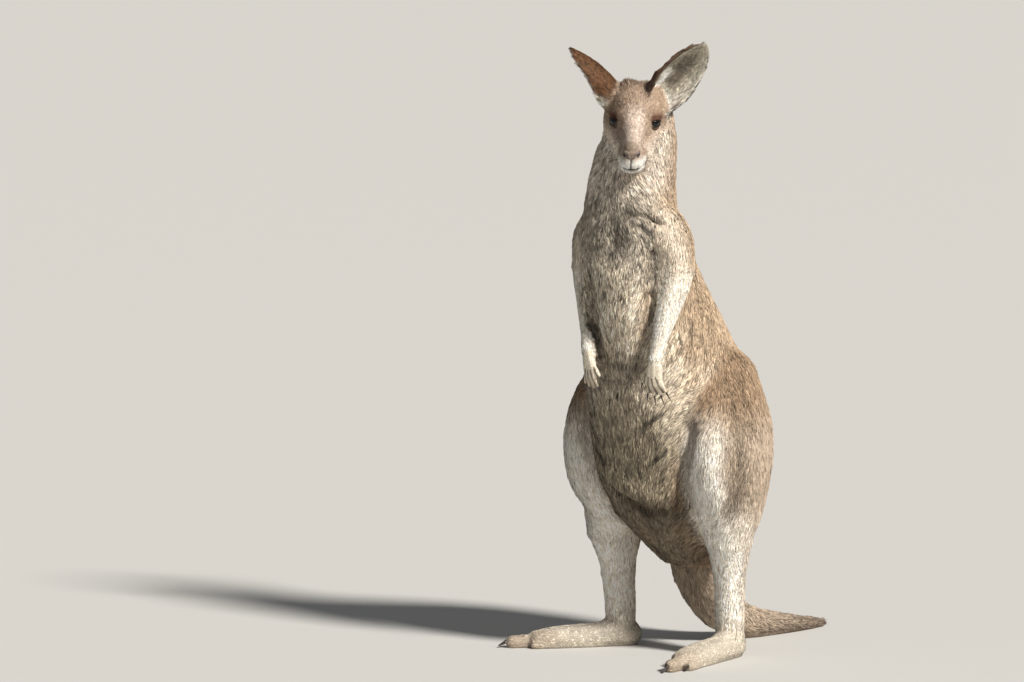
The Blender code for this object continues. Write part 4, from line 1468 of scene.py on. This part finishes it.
def makeLids(side, sign):
    # a closed ring round the opening: rows run over its edge, out along the ball to a circle under the coat
    # and back inside; the opening is an almond whose front corner is drawn out and down
    outward, forward, up = gazeFrame(sign)
    turn = np.linspace(0, 2 * math.pi, lid["columns"], endpoint=False)
    x = np.cos(turn) * lid["halfWidth"]
    tall = np.where(np.sin(turn) > 0, lid["above"], lid["below"])
    y = np.sign(np.sin(turn)) * np.abs(np.sin(turn)) ** 1.15 * tall
    x = x + lid["tearCorner"] * np.maximum(np.cos(turn), 0) ** 4
    y = y - 0.6 * lid["tearCorner"] * np.maximum(np.cos(turn), 0) ** 4
    upper = ease(-0.1, 0.6, np.sin(turn))
    thick = lid["thickness"] * (1 + 0.9 * upper)
    radius = eye["radius"] + 0.0003
    farX, farY = (radius * lid["reach"] * wave for wave in (np.cos(turn), np.sin(turn)))
    profile = (
        (0.0, 0.0),
        (0.012, 0.55),
        (0.07, 0.95),
        (0.17, 1.1),
        (0.3, 1.0),
        (0.36, 0.8),
        (0.43, 1.0),
        (0.62, 0.9),
        (0.82, 0.5),
        (1.0, -0.4),
        (0.96, -2.6),
        (0.6, -1.9),
        (0.15, -0.8),
    )
    rows = []
    for share, rise in profile:
        px, py = x + share * (farX - x), y + share * (farY - y)
        rho = np.sqrt(px**2 + py**2)
        ball = radius + rise * thick
        angle = rho / radius
        spread = np.sin(angle) * ball / np.maximum(rho, 1e-9)
        rows.append(
            (px * spread)[:, None] * forward + (py * spread)[:, None] * up + (
                np.cos(angle) * ball
            )[:, None] * outward
        )
    places = np.vstack(rows) + eyeCentre[side]
    mesh = makeMesh("lids_" + side, places, ringFaces(len(rows), lid["columns"], closedRows=True))
    turnOut(mesh)
    # the lid's edge is dark, and the row in the lid's fold is painted half dark as painted shade
    dark = np.repeat([1, 1, 0.9, 0.45, 0.25, 0.5, 0.15, 0, 0, 0, 0.5, 1, 1], lid["columns"])
    above = np.tile(upper, len(rows))
    rim = np.array((0.016, 0.01, 0.008))
    fur = mixed(np.array((0.2, 0.135, 0.095)), (0.125, 0.052, 0.028), above)
    paint(mesh, mixed(fur, rim, dark))
    return addPiece("lids_" + side, mesh, skinMaterial, "coat_grey")


nose = {
    "centre": (0.0, -0.0985, -0.0265),
    "size": (0.0178, 0.0125, 0.0118),
    "nostril": (0.0108, -0.009, -0.0012),
    "rows": 90,
    "columns": 140,
}


def makeNose():
    # an ellipsoid pad, narrower below, with two comma-shaped nostrils sunk in round short lines
    rows, columns = nose["rows"], nose["columns"]
    tilt = np.linspace(0, math.pi, rows + 2)[1:-1]
    turn = np.linspace(0, 2 * math.pi, columns, endpoint=False)
    direction = np.stack(
        [
            np.sin(tilt)[:, None] * np.cos(turn),
            np.sin(tilt)[:, None] * np.sin(turn),
            np.repeat(np.cos(tilt)[:, None], columns, axis=1),
        ],
        axis=-1,
    ).reshape(-1, 3)
    direction = np.vstack([direction, [(0, 0, 1), (0, 0, -1)]])
    swell = np.sign(direction) * np.abs(direction) ** 0.85
    spots = swell * nose["size"]
    spots[:, 0] *= 1 - 0.3 * ease(0.2, -1.0, direction[:, 2])
    spots[:, 1] += 0.25 * np.clip(spots[:, 2], -1, 0)
    folded = foldedOver(spots)
    x, y, z = nose["nostril"]
    near = np.minimum(
        nearSegment(folded, (x, y, z), (x + 0.0042, y + 0.004, z + 0.002)),
        nearSegment(folded, (x, y, z), (x - 0.0016, y, z - 0.0024)),
    )
    sink = falloff(near, 0.0025)
    spots += direction * (-0.0048 * sink)[:, None]
    ridge = falloff(np.abs(folded[:, 0]), 0.0012) * ease(0.004, -0.004, spots[:, 2])
    spots += direction * (-0.0012 * ridge * (direction[:, 1] < 0))[:, None]
    mesh = makeMesh("noseLeather", fromHead(spots + nose["centre"]), closedGrid(rows, columns))
    turnOut(mesh)
    # short velvet over the top and down between the nostrils, bare dark leather round them and below
    velvet = ease(-0.05, 0.4, direction[:, 2] - 0.45 * np.abs(direction[:, 0]))
    velvet = np.maximum(
        velvet, 0.85 * ease(0.4, 0.14, np.abs(direction[:, 0])) * ease(-0.6, -0.15, direction[:, 2])
    )
    wing = falloff(near - 0.0044, 0.0014) * ease(-0.4, 0.0, direction[:, 2])
    mottle = 1 + 0.22 * latticeNoise(spots, 0.0016, 31)
    colour = mixed(np.array((0.045, 0.032, 0.028)), (0.165, 0.13, 0.115), 0.8 * wing)
    colour = mixed(colour, (0.215, 0.16, 0.118), velvet) * mottle[:, None]
    colour = mixed(colour, (0.005, 0.0035, 0.0035), np.clip(1.5 * sink, 0, 1))
    paint(mesh, colour)
    setAttribute(mesh, "dryness", "FLOAT", np.maximum(0.45 * velvet, 0.6 * np.clip(1.6 * sink, 0, 1)))
    return mesh


def noseMaterial():
    # damp pebbled leather: colour from the attribute, bump from small cells
    made, tree, shader = newMaterial("noseLeather")
    colour = addAttribute(tree, "coatColour")
    where = tree.nodes.new("ShaderNodeTexCoord")
    cells = addNode(tree, "ShaderNodeTexVoronoi", Scale=900.0)
    bump = addNode(tree, "ShaderNodeBump", Strength=0.5, Distance=0.0004)
    tone = tree.nodes.new("ShaderNodeMapRange")
    tone.inputs["To Min"].default_value = 0.28
    tone.inputs["To Max"].default_value = 0.55
    link(tree, where, "Object", cells, "Vector")
    link(tree, cells, "Distance", bump, "Height")
    link(tree, cells, "Distance", tone, "Value")
    dry = addAttribute(tree, "dryness")
    rough = addMath(tree, "ADD")
    link(tree, tone, "Result", rough, 0)
    link(tree, dry, "Fac", rough, 1)
    link(tree, rough, 0, shader, "Roughness")
    link(tree, colour, "Color", shader, "Base Color")
    link(tree, bump, "Normal", shader, "Normal")
    return made


def makeClaws():
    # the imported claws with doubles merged, rounded by two subdivisions
    tones = ((0.35, (0.014, 0.011, 0.01)), (0.75, (0.07, 0.052, 0.04)))
    grain, bump = {"Scale": 180.0, "Detail": 5.0}, {"Strength": 0.3, "Distance": 0.0003}
    horn = grainedMaterial("clawHorn", grain, tones, 0.34, bump)
    for name in [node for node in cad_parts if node.startswith("claw_")]:
        work = mergedSolid(name)
        mesh = bpy.data.meshes.new(name + "_horn")
        work.to_mesh(mesh)
        work.free()
        mesh.shade_smooth()
        piece = addPiece(name.replace("claw", "horn"), mesh, horn, "claw_horn", name)
        rounder = piece.modifiers.new("Round", "SUBSURF")
        rounder.levels = 2
        rounder.render_levels = 2


hairs = {
    "seed": 5,
    "whiskers": 15,  # on each side of the muzzle
    "whiskerLength": 0.036,
    "whiskerRadius": 0.00022,
    "lashes": 34,  # on each upper lid
    "lashLength": 0.0062,
    "lashRadius": 0.00022,
    "rows": 6,
}


def makeHairs(name, roots, directions, length, radius, droop):
    # each hair is a three-sided tube on root + direction * t * length + droop * t^2 * length, whose radius
    # shrinks with t and whose last row is a point
    count, rows = len(roots), hairs["rows"]
    t = np.linspace(0, 1, rows)[None, :, None]
    span = np.asarray(length).reshape(-1, 1, 1) * np.ones((count, 1, 1))
    path = roots[:, None] + span * (directions[:, None] * t + np.asarray(droop) * t**2)
    first = unit(np.cross(directions, (0.31, 0.17, 0.93)))
    second = np.cross(directions, first)
    angle = np.arange(3) * 2 * math.pi / 3
    ring = np.cos(angle)[:, None] * first[:, None] + np.sin(angle)[:, None] * second[:, None]
    tube = path[:, :-1, None] + radius * (1 - 0.9 * t[:, :-1, None]) * ring[:, None]
    places = np.concatenate([tube.reshape(count, -1, 3), path[:, -1:]], axis=1)
    sides = ringFaces(rows - 1, 3)
    last = (rows - 2) * 3
    shape = np.vstack(
        [
            sides[:, [0, 1, 2]],
            sides[:, [0, 2, 3]],
            [(0, 2, 1)],
            [(last + k, last + (k + 1) % 3, last + 3) for k in range(3)],
        ]
    )
    faces = (np.arange(count)[:, None, None] * places.shape[1] + shape).reshape(-1, 3)
    mesh = makeMesh(name, places.reshape(-1, 3), faces)
    turnOut(mesh)
    return mesh


def makeWhiskers(side, sign):
    dice = np.random.default_rng(hairs["seed"] + sign)
    count = hairs["whiskers"]
    spots = np.stack(
        [
            sign * np.full(count, 0.02),
            dice.uniform(-0.092, -0.066, count),
            dice.uniform(-0.052, -0.04, count),
        ],
        axis=1,
    )
    ways = np.stack(
        [sign * np.ones(count), dice.uniform(-0.25, 0.55, count), dice.uniform(-0.5, 0.1, count)], axis=1
    )
    length = hairs["whiskerLength"] * dice.uniform(0.6, 1.2, count)
    droop = headTurn @ (0, 0.25, -0.22)
    mesh = makeHairs(
        "whiskers_" + side,
        skinPoints[nearestIn(finePoints, fromHead(spots))],
        unit(ways @ headTurn.T),
        length,
        hairs["whiskerRadius"],
        droop,
    )
    return addPiece("whiskers_" + side, mesh, hairDark, "coat_grey")


def makeLashes(side, sign):
    # hairs along the edge of the upper lid, fanned out from the middle of the eye
    outward, forward, up = gazeFrame(sign)
    dice = np.random.default_rng(hairs["seed"] + 3 + sign)
    angle = np.linspace(0.12, 0.92, hairs["lashes"]) * math.pi
    x = np.cos(angle) * lid["halfWidth"] * 1.02
    y = np.sin(angle) ** 1.15 * lid["above"] * 1.03
    rise = np.sqrt((eye["radius"] + 0.0014) ** 2 - x**2 - y**2)
    roots = eyeCentre[side] + x[:, None] * forward + y[:, None] * up + rise[:, None] * outward
    ways = (
        0.55 * np.cos(angle)[:, None] * forward
        + 0.1 * up
        + outward
        + 0.1 * dice.standard_normal((len(angle), 3))
    )
    length = hairs["lashLength"] * dice.uniform(0.7, 1.15, len(angle))
    mesh = makeHairs(
        "lashes_" + side, roots, unit(ways), length, hairs["lashRadius"], headTurn @ (0, 0, -0.45)
    )
    return addPiece("lashes_" + side, mesh, hairDark, "coat_grey")


hairTones = ((0, (0.01, 0.008, 0.007)), (1, (0.075, 0.058, 0.045)))
hairDark = grainedMaterial("stiffHair", {"Scale": 90.0, "Detail": 2.0}, hairTones, 0.45)
for side, sign in (("left", 1), ("right", -1)):
    makeWhiskers(side, sign)
    makeLashes(side, sign)
makeEye("left", 1)
makeEye("right", -1)
makeLids("left", 1)
makeLids("right", -1)
addPiece("noseLeather", makeNose(), noseMaterial(), "coat_pale")
makeClaws()
report("eyes, lids, nose and claws made")

# studio

studio = {
    "azimuth": 36.5,
    "elevation": 5.5,
    "distance": 10.0,
    "lens": 175.8,
    "aimAcross": -0.32,
    "aimUp": 0.622,
    "under": (0.0507, -0.1032, 0.0),
    "floorReach": 80.0,
    "floor": (0.54, 0.53, 0.505),
    "floorRoughness": 0.8,
    "sky": (0.9, 0.93, 0.97),
    "skyStrength": 0.18,
}


# degrees round from the camera, degrees up, strength, softness in degrees and tint
lamps = {
    "key": (43, 39, 5.8, 9, (1.0, 0.965, 0.915)),
    "fill": (-40, 30, 0.08, 60, (0.93, 0.96, 1.0)),
}


def aim(thing, place, target):
    # turns a camera or lamp at this place towards the target
    thing.location = place
    thing.rotation_mode = "QUATERNION"
    thing.rotation_quaternion = (Vector(place) - Vector(target)).to_track_quat("Z", "Y")


def wayAt(turn, rise):
    # the direction this far round from the front and this far up
    return Vector((math.sin(turn) * math.cos(rise), -math.cos(turn) * math.cos(rise), math.sin(rise)))


def makeStudio():
    scene = bpy.context.scene
    turn, rise = math.radians(studio["azimuth"]), math.radians(studio["elevation"])
    right = Vector((math.cos(turn), math.sin(turn), 0))
    toward = wayAt(turn, rise)
    target = Vector(studio["under"]) + right * studio["aimAcross"] + toward.cross(right) * studio["aimUp"]
    camera = bpy.data.objects.new("camera", bpy.data.cameras.new("camera"))
    scene.collection.objects.link(camera)
    camera.data.lens = studio["lens"]
    camera.data.sensor_width = 36
    camera.data.clip_end = 200
    aim(camera, target + toward * studio["distance"], target)
    scene.camera = camera

    for name, (around, upward, strength, softness, tint) in lamps.items():
        lamp = bpy.data.lights.new(name, "SUN")
        lamp.energy = strength
        lamp.angle = math.radians(softness)
        lamp.color = tint
        holder = bpy.data.objects.new(name, lamp)
        scene.collection.objects.link(holder)
        away = wayAt(turn + math.radians(around), math.radians(upward))
        aim(holder, away * 6, Vector())

    world = bpy.data.worlds.new("studio")
    world.use_nodes = True
    sky = world.node_tree.nodes["Background"]
    sky.inputs["Color"].default_value = (*studio["sky"], 1)
    sky.inputs["Strength"].default_value = studio["skyStrength"]
    scene.world = world
    scene.view_settings.view_transform = "Standard"

    corners = studio["floorReach"] * np.array([(-1, -1, 0), (1, -1, 0), (1, 1, 0), (-1, 1, 0)])
    floor = makeMesh("floor", corners, np.array([[0, 1, 2, 3]]))
    ground = bpy.data.objects.new("floor", floor)
    scene.collection.objects.link(ground)
    pale, _, shader = newMaterial("paleFloor")
    shader.inputs["Base Color"].default_value = (*studio["floor"], 1)
    shader.inputs["Roughness"].default_value = studio["floorRoughness"]
    floor.materials.append(pale)


makeStudio()
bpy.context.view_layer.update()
report("studio made")
